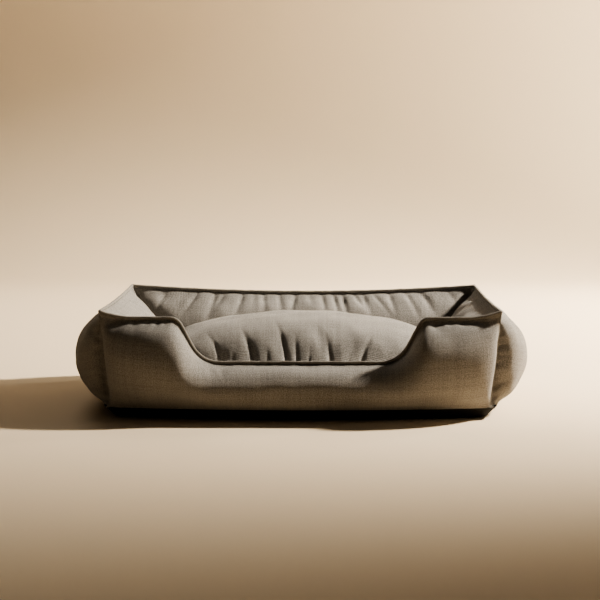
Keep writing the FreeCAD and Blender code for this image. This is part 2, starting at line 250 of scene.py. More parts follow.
BASE_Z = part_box("base_nonslip_panel")[1].z
BASE_SLOPE = 0.018
BASE_CORNER_X = 0.367
BASE_CORNER_Y = 0.252
FRONT_SEAM_BOW = 0.033
SIDE_SEAM_BOW = 0.024
BASE_HEM = 0.0010
BASE_FABRIC = 0.0011
TRAY_FOOT_Z = 0.0010
CASING_ZIP_Z = 0.011
CASING_ZIP_HALF = 0.190
ZIP_HALF_OPENING = 0.007
TRAY_ROUNDING = 4               # smoothing passes over the outline's corners
DOT_SPACING = 0.014
DOT_ROW_SPACING = 0.87 * DOT_SPACING
DOT_MARGIN = 0.016              # from the tray's edge
DOT_REACH = 0.335               # no dot stands farther out than this, less the margin
DOT_Z = 0.0009
DOT_SIZE = (0.0021, 0.0021, 0.0010)
STITCH_SIZE = (0.0013, 0.00034, 0.00034)
STITCH_SPACING = 0.0034


def base_line(z, inset=0.0):
    """The base's outline at one height, counter-clockwise from the front left corner."""
    draw_in = BASE_SLOPE * (1 - z / BASE_Z)
    corner_x = BASE_CORNER_X - draw_in - inset
    front_y = BASE_CORNER_Y - draw_in - inset
    rear_y = BASE_CORNER_Y - inset
    t = np.linspace(-1, 1, 121)[:-1]
    s = np.linspace(-1, 1, 81)[:-1]
    bow = 1 - t ** 2
    side_bow = SIDE_SEAM_BOW * (1 - s ** 2)
    side_y = (rear_y - front_y) / 2 + s * (rear_y + front_y) / 2
    past_zip = np.clip(np.abs(t) - 0.5, 0, None) * 2
    rear_x = np.sign(t) * (np.minimum(np.abs(t), 0.5) * 2 * CASING_ZIP_HALF
                           + past_zip * (corner_x - CASING_ZIP_HALF))
    front = np.stack([corner_x * t, -front_y - FRONT_SEAM_BOW * bow], 1)
    right = np.stack([corner_x + side_bow, side_y], 1)
    rear = np.stack([-rear_x, rear_y + 0 * t], 1)
    left = np.stack([-corner_x - side_bow, -side_y + rear_y - front_y], 1)
    line = np.concatenate([front, right, rear, left])
    for _ in range(TRAY_ROUNDING):
        line = (np.roll(line, 1, 0) + 2 * line + np.roll(line, -1, 0)) / 4
    return np.column_stack([line, np.full(len(line), z)])


def ring_faces(stations, rows, first_centre, last_centre):
    """Faces of closed rings joined row to row, with a point closing the first and last ring."""
    faces = grid_faces(stations, rows, closed=True)
    total = stations * rows
    for i in range(stations):
        a, b = i * rows, ((i + 1) % stations) * rows
        if first_centre:
            faces.append((b, a, total))
        if last_centre:
            faces.append((a + rows - 1, b + rows - 1, total + first_centre))
    return faces


def without_opening(vertices, faces, rear_y, half_length, low, high):
    """The faces less those over a zip, which lies beyond rear_y between two heights."""
    slack = 1e-4

    def over_zip(face):
        x, y, z = vertices[list(face)].T
        return (y.min() > rear_y and np.abs(x).max() < half_length + slack
                and z.min() > low - slack and z.max() < high + slack)

    return [face for face in faces if not over_zip(face)]


def give_thickness(piece, thickness):
    """The cloth's thickness, inwards from the face that shows."""
    solid = piece.modifiers.new("thickness", "SOLIDIFY")
    solid.thickness = thickness
    solid.offset = -1.0


def pebbled_fabric():
    finish = Finish("nonslip_fabric", (0.012, 0.0115, 0.011), 0.6)
    finish.shader.inputs["Specular IOR Level"].default_value = 0.35
    place = finish.place()
    cells = finish.add("TexVoronoi", {"feature": "F1"}, Vector=place, Scale=900.0)
    pebble = (1.0 - finish.value(cells.outputs["Distance"]) * 1.1).within(0.0, 1.0)
    wear = finish.noise(place, 26.0, 4.0)
    finish.tint(pebble * 0.4 + wear * 0.6, (0.006, 0.006, 0.0055), (0.024, 0.022, 0.020))
    finish.feed(Roughness=0.50 + wear * 0.25)
    finish.relief(pebble + wear * 0.5, 0.0003, 0.8)
    return finish.material


def rubber_and_thread(name, low, high, roughness, scale):
    """A fine even finish for dots, threads and coils: mottled colour with a slight grain."""
    finish = Finish(name, high, roughness)
    place = finish.place()
    grain = finish.noise(place, scale, 3.0)
    finish.tint(grain * 1.6 - 0.3, low, high)
    finish.relief(grain, 0.0001, 0.6)
    return finish.material


def line_repeater():
    """Geometry Nodes: sets a small round-ended piece at every step along the edges it is given."""
    tree = bpy.data.node_groups.new("set_along_line", "GeometryNodeTree")
    sockets = [("Lines", "Geometry"), ("Spacing", "Float"), ("Size", "Vector"), ("Unevenness", "Float"),
               ("Finish", "Material")]
    for name, kind in sockets:
        tree.interface.new_socket(name, in_out="INPUT", socket_type="NodeSocket" + kind)
    tree.interface.new_socket("Pieces", in_out="OUTPUT", socket_type="NodeSocketGeometry")

    def node(kind, **links):
        made = tree.nodes.new(kind)
        for key, value in links.items():
            socket = made.inputs[key.replace("_", " ")]
            if isinstance(value, bpy.types.NodeSocket):
                tree.links.new(value, socket)
            else:
                socket.default_value = value
        return made

    start = node("NodeGroupInput").outputs
    curve = node("GeometryNodeMeshToCurve", Mesh=start["Lines"]).outputs[0]
    points = tree.nodes.new("GeometryNodeResampleCurve")
    points.mode = "LENGTH"
    tree.links.new(curve, points.inputs["Curve"])
    tree.links.new(start["Spacing"], points.inputs["Length"])
    grain = node("GeometryNodeMeshUVSphere", Segments=8, Rings=5, Radius=1.0).outputs[0]
    tangent = node("GeometryNodeInputTangent").outputs[0]
    aligned = tree.nodes.new("FunctionNodeAlignRotationToVector")
    aligned.axis = "X"
    tree.links.new(tangent, aligned.inputs["Vector"])
    placed = node("GeometryNodeInstanceOnPoints", Points=points.outputs[0], Instance=grain,
                  Rotation=aligned.outputs[0], Scale=start["Size"])
    spread = tree.nodes.new("ShaderNodeVectorMath")
    spread.operation = "SCALE"
    spread.inputs[0].default_value = (0.4, 0.4, 1.0)
    tree.links.new(start["Unevenness"], spread.inputs["Scale"])
    back = tree.nodes.new("ShaderNodeVectorMath")
    back.operation = "SCALE"
    back.inputs["Scale"].default_value = -1.0
    tree.links.new(spread.outputs[0], back.inputs[0])
    jitter = tree.nodes.new("FunctionNodeRandomValue")
    jitter.data_type = "FLOAT_VECTOR"
    tree.links.new(back.outputs[0], jitter.inputs[0])
    tree.links.new(spread.outputs[0], jitter.inputs[1])
    jitter.inputs["Seed"].default_value = 5
    turned = node("GeometryNodeRotateInstances", Instances=placed.outputs[0], Rotation=jitter.outputs[0])
    solid = node("GeometryNodeRealizeInstances", Geometry=turned.outputs[0]).outputs[0]
    smooth = node("GeometryNodeSetShadeSmooth", Geometry=solid).outputs[0]
    finished = node("GeometryNodeSetMaterial", Geometry=smooth, Material=start["Finish"]).outputs[0]
    node("NodeGroupOutput", Pieces=finished)
    return tree


set_along_line = line_repeater()


def set_along(name, lines, spacing, size, material, unevenness=0.0):
    """Small pieces along lines, each a list of points, as one plain mesh."""
    vertices, edges = [], []
    for line in lines:
        start = len(vertices)
        vertices += np.asarray(line, float).tolist()
        edges += [(start + k, start + k + 1) for k in range(len(line) - 1)]
    mesh = bpy.data.meshes.new(name + "_line")
    mesh.from_pydata(vertices, edges, [])
    guide = bpy.data.objects.new(name + "_line", mesh)
    bpy.context.scene.collection.objects.link(guide)
    modifier = guide.modifiers.new("pieces", "NODES")
    modifier.node_group = set_along_line
    values = {"Spacing": spacing, "Size": size, "Unevenness": unevenness, "Finish": material}
    for item in set_along_line.interface.items_tree:
        if item.name in values and item.in_out == "INPUT":
            modifier[item.identifier] = values[item.name]
    guide.update_tag()
    shown = guide.evaluated_get(bpy.context.evaluated_depsgraph_get())
    made = bpy.data.meshes.new_from_object(shown)
    bpy.data.objects.remove(guide)
    made.name = name
    piece = bpy.data.objects.new(name, made)
    bpy.context.scene.collection.objects.link(piece)
    return piece


def base_tray():
    """The tray's skin, from the hem turned in at its top, down its band and in under the bed."""
    zip_low, zip_high = CASING_ZIP_Z - ZIP_HALF_OPENING, CASING_ZIP_Z + ZIP_HALF_OPENING
    rows = [(BASE_Z - 0.0022, 0.0016), (BASE_Z + 0.0003, 0.0012), (BASE_Z + BASE_HEM, -0.0002)]
    rows += [(z, -0.0004) for z in (0.0206, zip_high)]
    rows += [(z, 0.0) for z in (0.0150, 0.0125, 0.0100, 0.0070, zip_low)]
    rows += [(0.0024, 0.0008), (0.0013, 0.0026), (TRAY_FOOT_Z, 0.0055)]
    lines = [base_line(z, inset) for z, inset in rows]
    lines += [lines[-1] * (shrink, shrink, 1.0) for shrink in np.linspace(0.985, 0.05, 14)]
    skin = np.stack(lines, 1)
    x, y, z = skin[..., 0], skin[..., 1], skin[..., 2]
    around = np.arctan2(y, x)
    slack = np.sin(around * 23 + 1.0) + np.sin(around * 41 + z * 300) + np.sin(around * 9)
    on_rear = (y > BASE_CORNER_Y - 0.03) & (z > 0.002)
    band = np.where((z < 0.019) & (z > 0.002) & ~on_rear, 0.00035 * slack, 0.0)
    skin[..., 0] += band * np.cos(around)
    skin[..., 1] += band * np.sin(around)
    under = z < TRAY_FOOT_Z + 0.00005
    skin[..., 2] += np.where(under, 0.0002 * np.sin(x * 90) * np.sin(y * 110), 0.0)
    faces = [face[::-1] for face in ring_faces(*skin.shape[:2], False, True)]
    vertices = np.concatenate([skin.reshape(-1, 3), [(0.0, 0.0, TRAY_FOOT_Z)]])
    faces = without_opening(vertices, faces, BASE_CORNER_Y - 0.002, CASING_ZIP_HALF, zip_low, zip_high)
    return make_object("base_tray", vertices, faces, pebbled_fabric())


tray = base_tray()
give_thickness(tray, BASE_FABRIC)
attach(tray, "bed")
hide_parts("base_nonslip_panel")
grip_rubber = rubber_and_thread("grip_rubber", (0.010, 0.010, 0.010), (0.030, 0.029, 0.028), 0.75, 900.0)
black_thread = rubber_and_thread("black_thread", (0.008, 0.008, 0.008), (0.030, 0.028, 0.026), 0.7, 2600.0)


def grip_dots():
    """Rows of dots over the underside, every second row set half a step along."""
    lines = []
    edge = base_line(0.0)
    for k, y in enumerate(np.arange(-0.245, 0.244, DOT_ROW_SPACING)):
        crossing = edge[np.abs(edge[:, 1] - y).argsort()[:6], 0]
        reach = min(np.abs(crossing).min(), DOT_REACH) - DOT_MARGIN
        shift = DOT_SPACING / 2 * (k % 2)
        lines.append([(-reach + shift, y, DOT_Z), (reach, y, DOT_Z)])
    return lines


dots = set_along("grip_dots", grip_dots(), DOT_SPACING, DOT_SIZE, grip_rubber)
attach(dots, "bed")
hem_line = base_line(BASE_Z - 0.0024, -0.0005)
hem = set_along("base_hem_stitches", [np.concatenate([hem_line, hem_line[:1]])], STITCH_SPACING,
                STITCH_SIZE, black_thread, 0.10)
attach(hem, "bed")

# ---------------------------------------------------------------------------------------------
# Foam pad: a slab of open-cell foam that lies in the tray and stiffens the floor of the bed.
# ---------------------------------------------------------------------------------------------

PAD_INSET = 0.0034
PAD_LOW = 0.0024
PAD_HIGH = 0.0200
PAD_SOFT_EDGE = 0.003
PAD_CHAMFER = 0.0009


def open_cell_foam():
    finish = Finish("foam", (0.80, 0.77, 0.66), 0.9)
    place = finish.place()
    large = finish.add("TexVoronoi", {"feature": "SMOOTH_F1"}, Vector=place, Scale=700.0)
    small = finish.add("TexVoronoi", {"feature": "F1"}, Vector=place, Scale=1900.0)
    wall = finish.value(large.outputs["Distance"]) * 0.7 + finish.value(small.outputs["Distance"]) * 0.3
    age = finish.noise(place, 14.0, 3.0)
    finish.tint(wall * 0.8 + age * 0.4, (0.52, 0.46, 0.33), (0.86, 0.82, 0.70))
    finish.relief(wall, 0.0006)
    return finish.material


def foam_pad():
    """A closed slab over the base's outline, with soft edges; rows are (height, inset)."""
    rows = [(PAD_LOW, PAD_INSET + PAD_SOFT_EDGE), (PAD_LOW + PAD_CHAMFER, PAD_INSET + PAD_CHAMFER),
            (PAD_LOW + PAD_SOFT_EDGE, PAD_INSET), (PAD_HIGH - PAD_SOFT_EDGE, PAD_INSET),
            (PAD_HIGH - PAD_CHAMFER, PAD_INSET + PAD_CHAMFER), (PAD_HIGH, PAD_INSET + PAD_SOFT_EDGE)]
    lines = [base_line(z, inset) for z, inset in rows]
    shrinks = np.linspace(0.05, 0.985, 12)
    low = [lines[0] * (k, k, 1.0) for k in shrinks]
    high = [lines[-1] * (k, k, 1.0) for k in shrinks[::-1]]
    body = np.stack(low + lines + high, 1)
    vertices = np.concatenate([body.reshape(-1, 3), [(0.0, 0.0, PAD_LOW), (0.0, 0.0, PAD_HIGH)]])
    faces = ring_faces(*body.shape[:2], True, True)
    return make_object("foam_pad", vertices, faces, open_cell_foam(), vertices[:, :2])


pad = foam_pad()
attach(pad, "bed")
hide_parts("base_foam_pad")

# ---------------------------------------------------------------------------------------------
# Floor panel: canvas laid over the foam pad and caught in the seam at the foot of the walls.
# ---------------------------------------------------------------------------------------------

CANVAS = 0.0012                 # thickness of the sewn canvas
FLOOR_CANVAS = 0.0010
FLOOR_CLOTH_Z = 0.0213


def canvas(name, dark, light, thread, turned=0.0, relief=0.0004):
    """Plain-woven heathered canvas on the cloth's own flat coordinates; thread is its spacing in metres."""
    finish = Finish(name, light, 0.85, 0.22)
    uv = finish.add("UVMap", {"uv_map": "cloth"}).outputs[0]
    if turned:
        uv = finish.add("VectorRotate", {"rotation_type": "Z_AXIS"}, Vector=uv, Angle=turned).outputs[0]
    drift = (finish.noise(uv, 260.0, 2.0, True) - 0.5) * (thread * 0.5)
    split = finish.add("SeparateXYZ", None, _0=uv)
    warp = (finish.value(split.outputs[0]) + drift) / thread
    weft = (finish.value(split.outputs[1]) + drift) / thread
    warp_number, weft_number = warp.apply("FLOOR"), weft.apply("FLOOR")
    round_warp = ((warp - warp_number - 0.5) * math.pi).apply("COSINE")
    round_weft = ((weft - weft_number - 0.5) * math.pi).apply("COSINE")
    over = (warp_number + weft_number).apply("FLOORED_MODULO", 2.0)
    warp_up = round_warp * (round_weft * 0.45 + 0.55)
    weft_up = round_weft * (round_warp * 0.45 + 0.55)
    height = warp_up * over + weft_up * (1.0 - over)
    warp_shade = finish.add("TexWhiteNoise", {"noise_dimensions": "1D"}, W=warp_number * 1.37)
    weft_shade = finish.add("TexWhiteNoise", {"noise_dimensions": "1D"}, W=weft_number * 2.11 + 40.0)
    yarn = (finish.value(warp_shade.outputs[0]) * over
            + finish.value(weft_shade.outputs[0]) * (1.0 - over))
    fleck = finish.noise(uv, 420.0, 3.0, True) - 0.5
    cloud = finish.noise(uv, 9.0, 3.0, True)
    # Darker in the weave's hollows, by its height: painted shade. Yarn tones, flecks and clouds are the
    # cloth's own.
    finish.tint(height * 0.62 + yarn * 0.16 + fleck * 0.8 + cloud * 0.2 + 0.06, dark, light)
    finish.relief(height, relief, 0.9)
    return finish.material


canvas_cloth = canvas("canvas", (0.070, 0.062, 0.052), (0.500, 0.461, 0.411), 0.0022, 0.0, 0.0006)


def floor_cloth():
    """One layer of cloth over the pad, with slight hollows."""
    lines = [base_line(FLOOR_CLOTH_Z - 0.0006, 0.0030), base_line(FLOOR_CLOTH_Z, 0.0034)]
    lines += [lines[-1] * (k, k, 1.0) for k in np.linspace(0.99, 0.02, 56)]
    cloth = np.stack(lines, 1)
    x, y = cloth[..., 0], cloth[..., 1]
    hollow = np.sin(x * 31 + 1) * np.sin(y * 37 + 2) + 0.6 * np.sin(x * 67 + y * 41)
    cloth[..., 2] += 0.00032 * hollow
    vertices = np.concatenate([cloth.reshape(-1, 3), [(0.0, 0.0, FLOOR_CLOTH_Z)]])
    faces = ring_faces(*cloth.shape[:2], False, True)
    return make_object("floor_panel", vertices, faces, canvas_cloth, vertices[:, :2])


floor_piece = floor_cloth()
give_thickness(floor_piece, FLOOR_CANVAS)
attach(floor_piece, "bed")
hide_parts("base_floor_panel")

# ---------------------------------------------------------------------------------------------
# Bolster walls: each has an outer and an inner panel of canvas, sewn together along a sharp top
# edge and to their neighbours down the corners, and stuffed with loose fibre until they swell.
# The cloth is cut a little full, so it puckers beside the seams.
# ---------------------------------------------------------------------------------------------

EAR_X = 0.375
EAR_Y = 0.260
EAR_Z = 0.201
CORNER_FAN = 0.125
CORNER_TUCK = 0.008
WELL_CORNER = 0.065
FRONT_SHOULDER_Z = 0.189
REAR_MID_Z = 0.187
SIDE_MID_Z = 0.197
SCOOP_Z = 0.1055
SCOOP_HALF_TOP = 0.243
SCOOP_SLOPE = math.radians(62.0)
SCOOP_TOP_RADIUS = 0.020
SCOOP_LOW_RADIUS = 0.060
CORNER_OUT = (0.003, -0.030)    # offsets of a corner seam's two middle control points
CORNER_IN = (-0.018, -0.055)
WIDEST = 0.75                   # share of its middle control points that a section reaches
FOOT_PULL = 0.15
CLOTH_STEP = 0.0058             # spacing of the simulated cloth's points
START_FULLNESS = 0.82           # the cloth starts flatter than its filling makes it
PANEL_LENGTH = 0.215            # a section's length, to the nearest step
SIDE_EASE = {"outer": 0.985, "inner": 0.98}    # share of its full bulge that a side wall keeps
SIDE_SWELL = (3.3, 0.74)        # how the swelling fades along a side wall: squareness, steepness
END_SWELL = (4.0, 0.7)          # the same along the front and rear walls
LOW_EDGE_SWELL = 0.22           # how far a lower top edge takes swelling away, as an exponent
UPPER_PULL = 0.85               # heights of a section's two middle control points, as shares
LOWER_PULL = 0.12


def scooped_edge():
    """Top edge of the front wall as (along, height), from the left corner to the right one."""
    rise = FRONT_SHOULDER_Z - SCOOP_Z
    radii = SCOOP_TOP_RADIUS + SCOOP_LOW_RADIUS
    flank = (rise - radii * (1 - math.cos(SCOOP_SLOPE))) / math.sin(SCOOP_SLOPE)
    low_end = SCOOP_HALF_TOP - radii * math.sin(SCOOP_SLOPE) - flank * math.cos(SCOOP_SLOPE)
    shoulder = (SCOOP_HALF_TOP + EAR_X) / 2
    half = []
    for x in np.linspace(EAR_X, SCOOP_HALF_TOP, 30)[:-1]:
        lift = max(0.0, (x - shoulder) / (EAR_X - shoulder)) ** 2
        half.append((x, FRONT_SHOULDER_Z + (EAR_Z - FRONT_SHOULDER_Z) * lift))
    for turn in np.linspace(0.0, SCOOP_SLOPE, 10):
        half.append((SCOOP_HALF_TOP - SCOOP_TOP_RADIUS * math.sin(turn),
                     FRONT_SHOULDER_Z - SCOOP_TOP_RADIUS * (1 - math.cos(turn))))
    for turn in np.linspace(SCOOP_SLOPE, 0.0, 20):
        half.append((low_end + SCOOP_LOW_RADIUS * math.sin(turn),
                     SCOOP_Z + SCOOP_LOW_RADIUS * (1 - math.cos(turn))))
    half.append((0.0, SCOOP_Z))
    right = np.array(half)
    return np.concatenate([right * (-1, 1), right[-2::-1]])


def sagging_edge(ear, middle_z):
    along = np.linspace(-ear, ear, 81)
    return np.stack([along, middle_z + (EAR_Z - middle_z) * (along / ear) ** 2], 1)


def run_along(line):
    """Distance from the start of a line to each of its points."""
    return np.concatenate([[0.0], np.cumsum(np.linalg.norm(np.diff(line, axis=0), axis=1))])


def evenly(points, step):
    """The same line with points a step apart."""
    points = np.asarray(points, float)
    run = run_along(points)
    at = np.linspace(0.0, run[-1], max(2, int(round(run[-1] / step)) + 1))
    return np.stack([np.interp(at, run, points[:, k]) for k in range(points.shape[1])], 1)


class Wall:
    """The shape of one wall. Offsets are square to its top edge, outwards positive."""

    def __init__(self, side, turn, ear, reach, edge, swell_out, swell_in, seam_bow, well_bow):
        self.side = side
        self.turn = math.radians(turn)
        self.is_side = turn in (90, 270)
        self.ear = ear
        self.reach = reach
        self.edge = evenly(edge, CLOTH_STEP)
        self.swell = {"outer": swell_out, "inner": swell_in}
        self.bow = {"outer": seam_bow, "inner": well_bow}

    def turned(self, x, y, z):
        c, s = math.cos(self.turn), math.sin(self.turn)
        return np.stack([c * x - s * y, s * x + c * y, z + 0 * x], -1)

    def place(self, along, offset, z):
        """Points in the bed's frame; towards the corners the sections turn into the mitre."""
        fan = np.clip((np.abs(along) - (self.ear - CORNER_FAN)) / CORNER_FAN, 0.0, None)
        return self.turned(along + np.sign(along) * offset * fan, -(self.reach + offset), z)

    def facing(self, which):
        """Unit vector square to the wall, out of the face that shows."""
        return self.turned(0.0, -1.0 if which == "outer" else 1.0, 0.0)

    def face(self, which, fullness=1.0):
        """Grid of points over one face, [along, down], from the top edge to the bottom seam."""
        along, top = self.edge[:, 0][:, None], self.edge[:, 1][:, None]
        share = np.abs(along) / self.ear
        height = top - BASE_Z
        squareness, steepness = SIDE_SWELL if self.is_side else END_SWELL
        low_edge = (height / (EAR_Z - BASE_Z)) ** LOW_EDGE_SWELL
        swell = (1 - share ** squareness) ** steepness * low_edge
        bow = self.bow[which] * (1 - share ** 2)
        if which == "inner":
            corner, foot = CORNER_IN, -WELL_CORNER - bow
            full = -(self.swell["inner"] * fullness + FOOT_PULL * foot) / WIDEST
        else:
            corner, foot = CORNER_OUT, -CORNER_TUCK + bow
            full = (self.swell["outer"] * fullness - FOOT_PULL * foot) / WIDEST
        t = np.linspace(0.0, 1.0, int(round(PANEL_LENGTH / CLOTH_STEP)))[None, :]
        first = corner[0] + (full - corner[0]) * swell
        second = corner[1] + (full - corner[1]) * swell
        offset = 3 * (1 - t) ** 2 * t * first + 3 * (1 - t) * t ** 2 * second + t ** 3 * foot
        z = ((1 - t) ** 3 * top + 3 * (1 - t) ** 2 * t * (BASE_Z + UPPER_PULL * height)
             + 3 * (1 - t) * t ** 2 * (BASE_Z + LOWER_PULL * height) + t ** 3 * BASE_Z)
        return self.place(along + 0 * t, offset, z)

    def filled(self, grid, which):
        """The cloth let out or taken in until it swells as far as its filling pushes it."""
        out = self.facing(which)
        seam = self.reach if which == "outer" else -self.reach
        offset = grid @ out - seam
        down = np.linspace(0.0, 1.0, grid.shape[1])[None, :]
        low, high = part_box(f"{self.side}_{which}_panel")
        reached = max(np.array(low) @ out, np.array(high) @ out) - seam
        ease = SIDE_EASE[which] if self.is_side else 1.0
        missing = ease * reached / offset.max() - 1
        push = np.clip(offset, 0.0, None) * missing * np.sin(math.pi * down) ** 0.5
        return grid + push[..., None] * out


def cloth_uv(grid):
    """Flat place of each point of a grid: distance along the wall, and distance up from its foot."""
    steps = np.linalg.norm(np.diff(grid, axis=1), axis=2)
    down = np.concatenate([np.zeros((len(grid), 1)), np.cumsum(steps, 1)], 1)
    along = run_along(grid[:, grid.shape[1] // 2])
    return np.stack([np.repeat(along[:, None], grid.shape[1], 1), down[:, -1:] - down], -1)


def refined(grid):
    """The grid with a point added midway between every two, on a smooth line through them."""
    for axis in (0, 1):
        g = np.moveaxis(grid, axis, 0)
        before = np.concatenate([2 * g[:1] - g[1:2], g[:-2]])
        after = np.concatenate([g[2:], 2 * g[-1:] - g[-2:-1]])
        finer = np.empty((2 * len(g) - 1,) + g.shape[1:])
        finer[::2] = g
        finer[1::2] = (9 * (g[:-1] + g[1:]) - before - after) / 16
        grid = np.moveaxis(finer, 0, axis)
    return grid


SWELL_FRAMES = 24
LEAN_JITTER = 0.25              # how unevenly neighbouring folds lean
CLOTH_SETTINGS = {
    "quality": 5, "mass": 0.25, "air_damping": 4.0, "tension_stiffness": 8.0, "compression_stiffness": 8.0,
    "shear_stiffness": 4.0, "bending_stiffness": 1.5, "use_pressure": True,
}


def swell(name, points, faces, gathered, spare, spare_gather, pressure):
    """Blow up sewn cloth over its filling, with the grid's border held in its seams. spare is how much
    larger the cloth is cut than the space it covers, and spare_gather the same where gathered is 1."""
    piece = make_object(name, points.reshape(-1, 3), faces)
    held = np.ones(points.shape[:2])
    held[1:-1, 1:-1] = 0.0
    pin = piece.vertex_groups.new(name="held")
    gather = piece.vertex_groups.new(name="gathered")
    pin.add(np.flatnonzero(np.ravel(held)).tolist(), 1.0, "REPLACE")
    for k, share in enumerate(np.ravel(gathered)):
        gather.add([k], float(share), "REPLACE")
    cloth = piece.modifiers.new("cloth", "CLOTH")
    for key, value in CLOTH_SETTINGS.items():
        setattr(cloth.settings, key, value)
    cloth.settings.uniform_pressure_force = pressure
    cloth.settings.vertex_group_mass = "held"
    cloth.settings.vertex_group_shrink = "gathered"
    cloth.settings.shrink_min = -spare
    cloth.settings.shrink_max = -spare_gather
    cloth.settings.effector_weights.gravity = 0.0
    cloth.collision_settings.use_collision = False
    cloth.point_cache.frame_start = 1
    cloth.point_cache.frame_end = SWELL_FRAMES
    scene = bpy.context.scene
    for number in range(1, SWELL_FRAMES + 1):
        scene.frame_set(number)
    shown = piece.evaluated_get(bpy.context.evaluated_depsgraph_get())
    done = np.zeros(points.size, np.float32)
    shown.data.vertices.foreach_get("co", done)
    bpy.data.objects.remove(piece)
    scene.frame_set(1)
    return done.reshape(points.shape).astype(float)


def smoothed(grid, passes):
    """The grid with its inner points drawn to the middle of their neighbours; its edges stay."""
    grid = grid.copy()
    for _ in range(passes):
        beside = grid[:-2, 1:-1] + grid[2:, 1:-1] + grid[1:-1, :-2] + grid[1:-1, 2:]
        grid[1:-1, 1:-1] = 0.5 * grid[1:-1, 1:-1] + 0.125 * beside
    return grid


def outward_normals(grid, toward):
    """Unit normals of a grid, on the side of the given direction."""
    normal = np.cross(np.gradient(grid, axis=0), np.gradient(grid, axis=1))
    normal /= np.maximum(np.linalg.norm(normal, axis=-1, keepdims=True), 1e-12)
    middle = normal[len(grid) // 2, grid.shape[1] // 2]
    return normal if np.dot(middle, toward) > 0 else -normal


def fold(sideways, along, length, width, depth, rise=0.007, widening=0.8):
    """Height of one fold: a narrow valley in a broad soft one, deepest where it has just left the
    seam, fading out along its length, and widening or narrowing as it goes."""
    t = np.clip(along / length, 0.0, 1.0)
    fade = np.clip(along / rise, 0.0, 1.0) * (1 - t) ** 1.3 * (along > 0)
    s = np.abs(sideways) / (width * (1 + widening * t))
    return -depth * fade * (0.65 * np.exp(-s ** 2) + 0.45 * np.exp(-(s / 3) ** 2))


def along_fold(x, y, start, end):
    """How far points are along a fold's line and sideways of it, and the line's length."""
    length = math.hypot(end[0] - start[0], end[1] - start[1])
    ex, ey = (end[0] - start[0]) / length, (end[1] - start[1]) / length
    x, y = x - start[0], y - start[1]
    return x * ex + y * ey, y * ex - x * ey, length


def seam_folds(position, away, reach, rng, spacing, length, depth, width, slant=0.0, rise=0.007):
    """Folds that leave a seam at uneven distances; position runs along the seam and away leaves it."""
    height = np.zeros_like(position)
    at = rng.uniform(0.3, 1.0) * spacing
    while at < reach:
        centred = 2 * at / reach - 1
        lean = slant * centred + rng.uniform(-LEAN_JITTER, LEAN_JITTER)
        scale = rng.uniform(0.55, 1.15)
        long = length * rng.uniform(0.6, 1.25)
        across = position - at - lean * away
        height += fold(across, away, long, width * rng.uniform(0.8, 1.25), depth * scale, rise)
        at += spacing * rng.uniform(0.65, 1.4)
    return height


def side_wall(side, turn):
    edge = sagging_edge(EAR_Y, SIDE_MID_Z)
    return Wall(side, turn, EAR_Y, EAR_X, edge, swell_out=0.0762, swell_in=0.092,
                seam_bow=SIDE_SEAM_BOW, well_bow=0.009)


WALLS = {
    "front": Wall("front", 0, EAR_X, EAR_Y, scooped_edge(), swell_out=0.0778, swell_in=0.080,
                  seam_bow=FRONT_SEAM_BOW, well_bow=-0.014),
    "right": side_wall("right", 90),
    "rear": Wall("rear", 180, EAR_X, EAR_Y, sagging_edge(EAR_X, REAR_MID_Z), swell_out=0.0681,
                 swell_in=0.080, seam_bow=0.0, well_bow=-0.014),
    "left": side_wall("left", 270),
}

SPARE = {"front": 0.004, "right": 0.010, "rear": 0.008, "left": 0.010}   # over the whole panel
SPARE_GATHER = {"front": 0.012, "right": 0.028, "rear": 0.018, "left": 0.028}   # beside its seams
GATHER_REACH = 0.035
WALL_PRESSURE = 3.2
SEAM_ALLOWANCE = 0.010
SMOOTHING = {"front": 22, "right": 9, "rear": 9, "left": 9}     # passes over the swollen cloth
FOLD_SEEDS = {"front": 11, "right": 23, "rear": 37, "left": 41}
INNER_SEED = 100                # added for an inner panel
SIDE_FOLDS = {"front": (0.018, 0.0022), "right": (0.046, 0.0090),    # folds at a panel's two ends:
              "rear": (0.030, 0.0036), "left": (0.046, 0.0090)}      # length, depth
LUMPS = {"front": 0.0004, "right": 0.0008, "rear": 0.0008, "left": 0.0008}

# Folds that stand out on the front wall: start (along, down from the top edge), end, width, depth.
FRONT_FOLDS = [
    ((-0.352, 0.006), (-0.315, 0.050), 0.0085, 0.0052),
    ((0.246, 0.008), (0.282, 0.058), 0.0090, 0.0052),
    ((-0.168, 0.022), (-0.160, 0.048), 0.0050, 0.0026),
    ((-0.146, 0.020), (-0.142, 0.044), 0.0050, 0.0026),
]


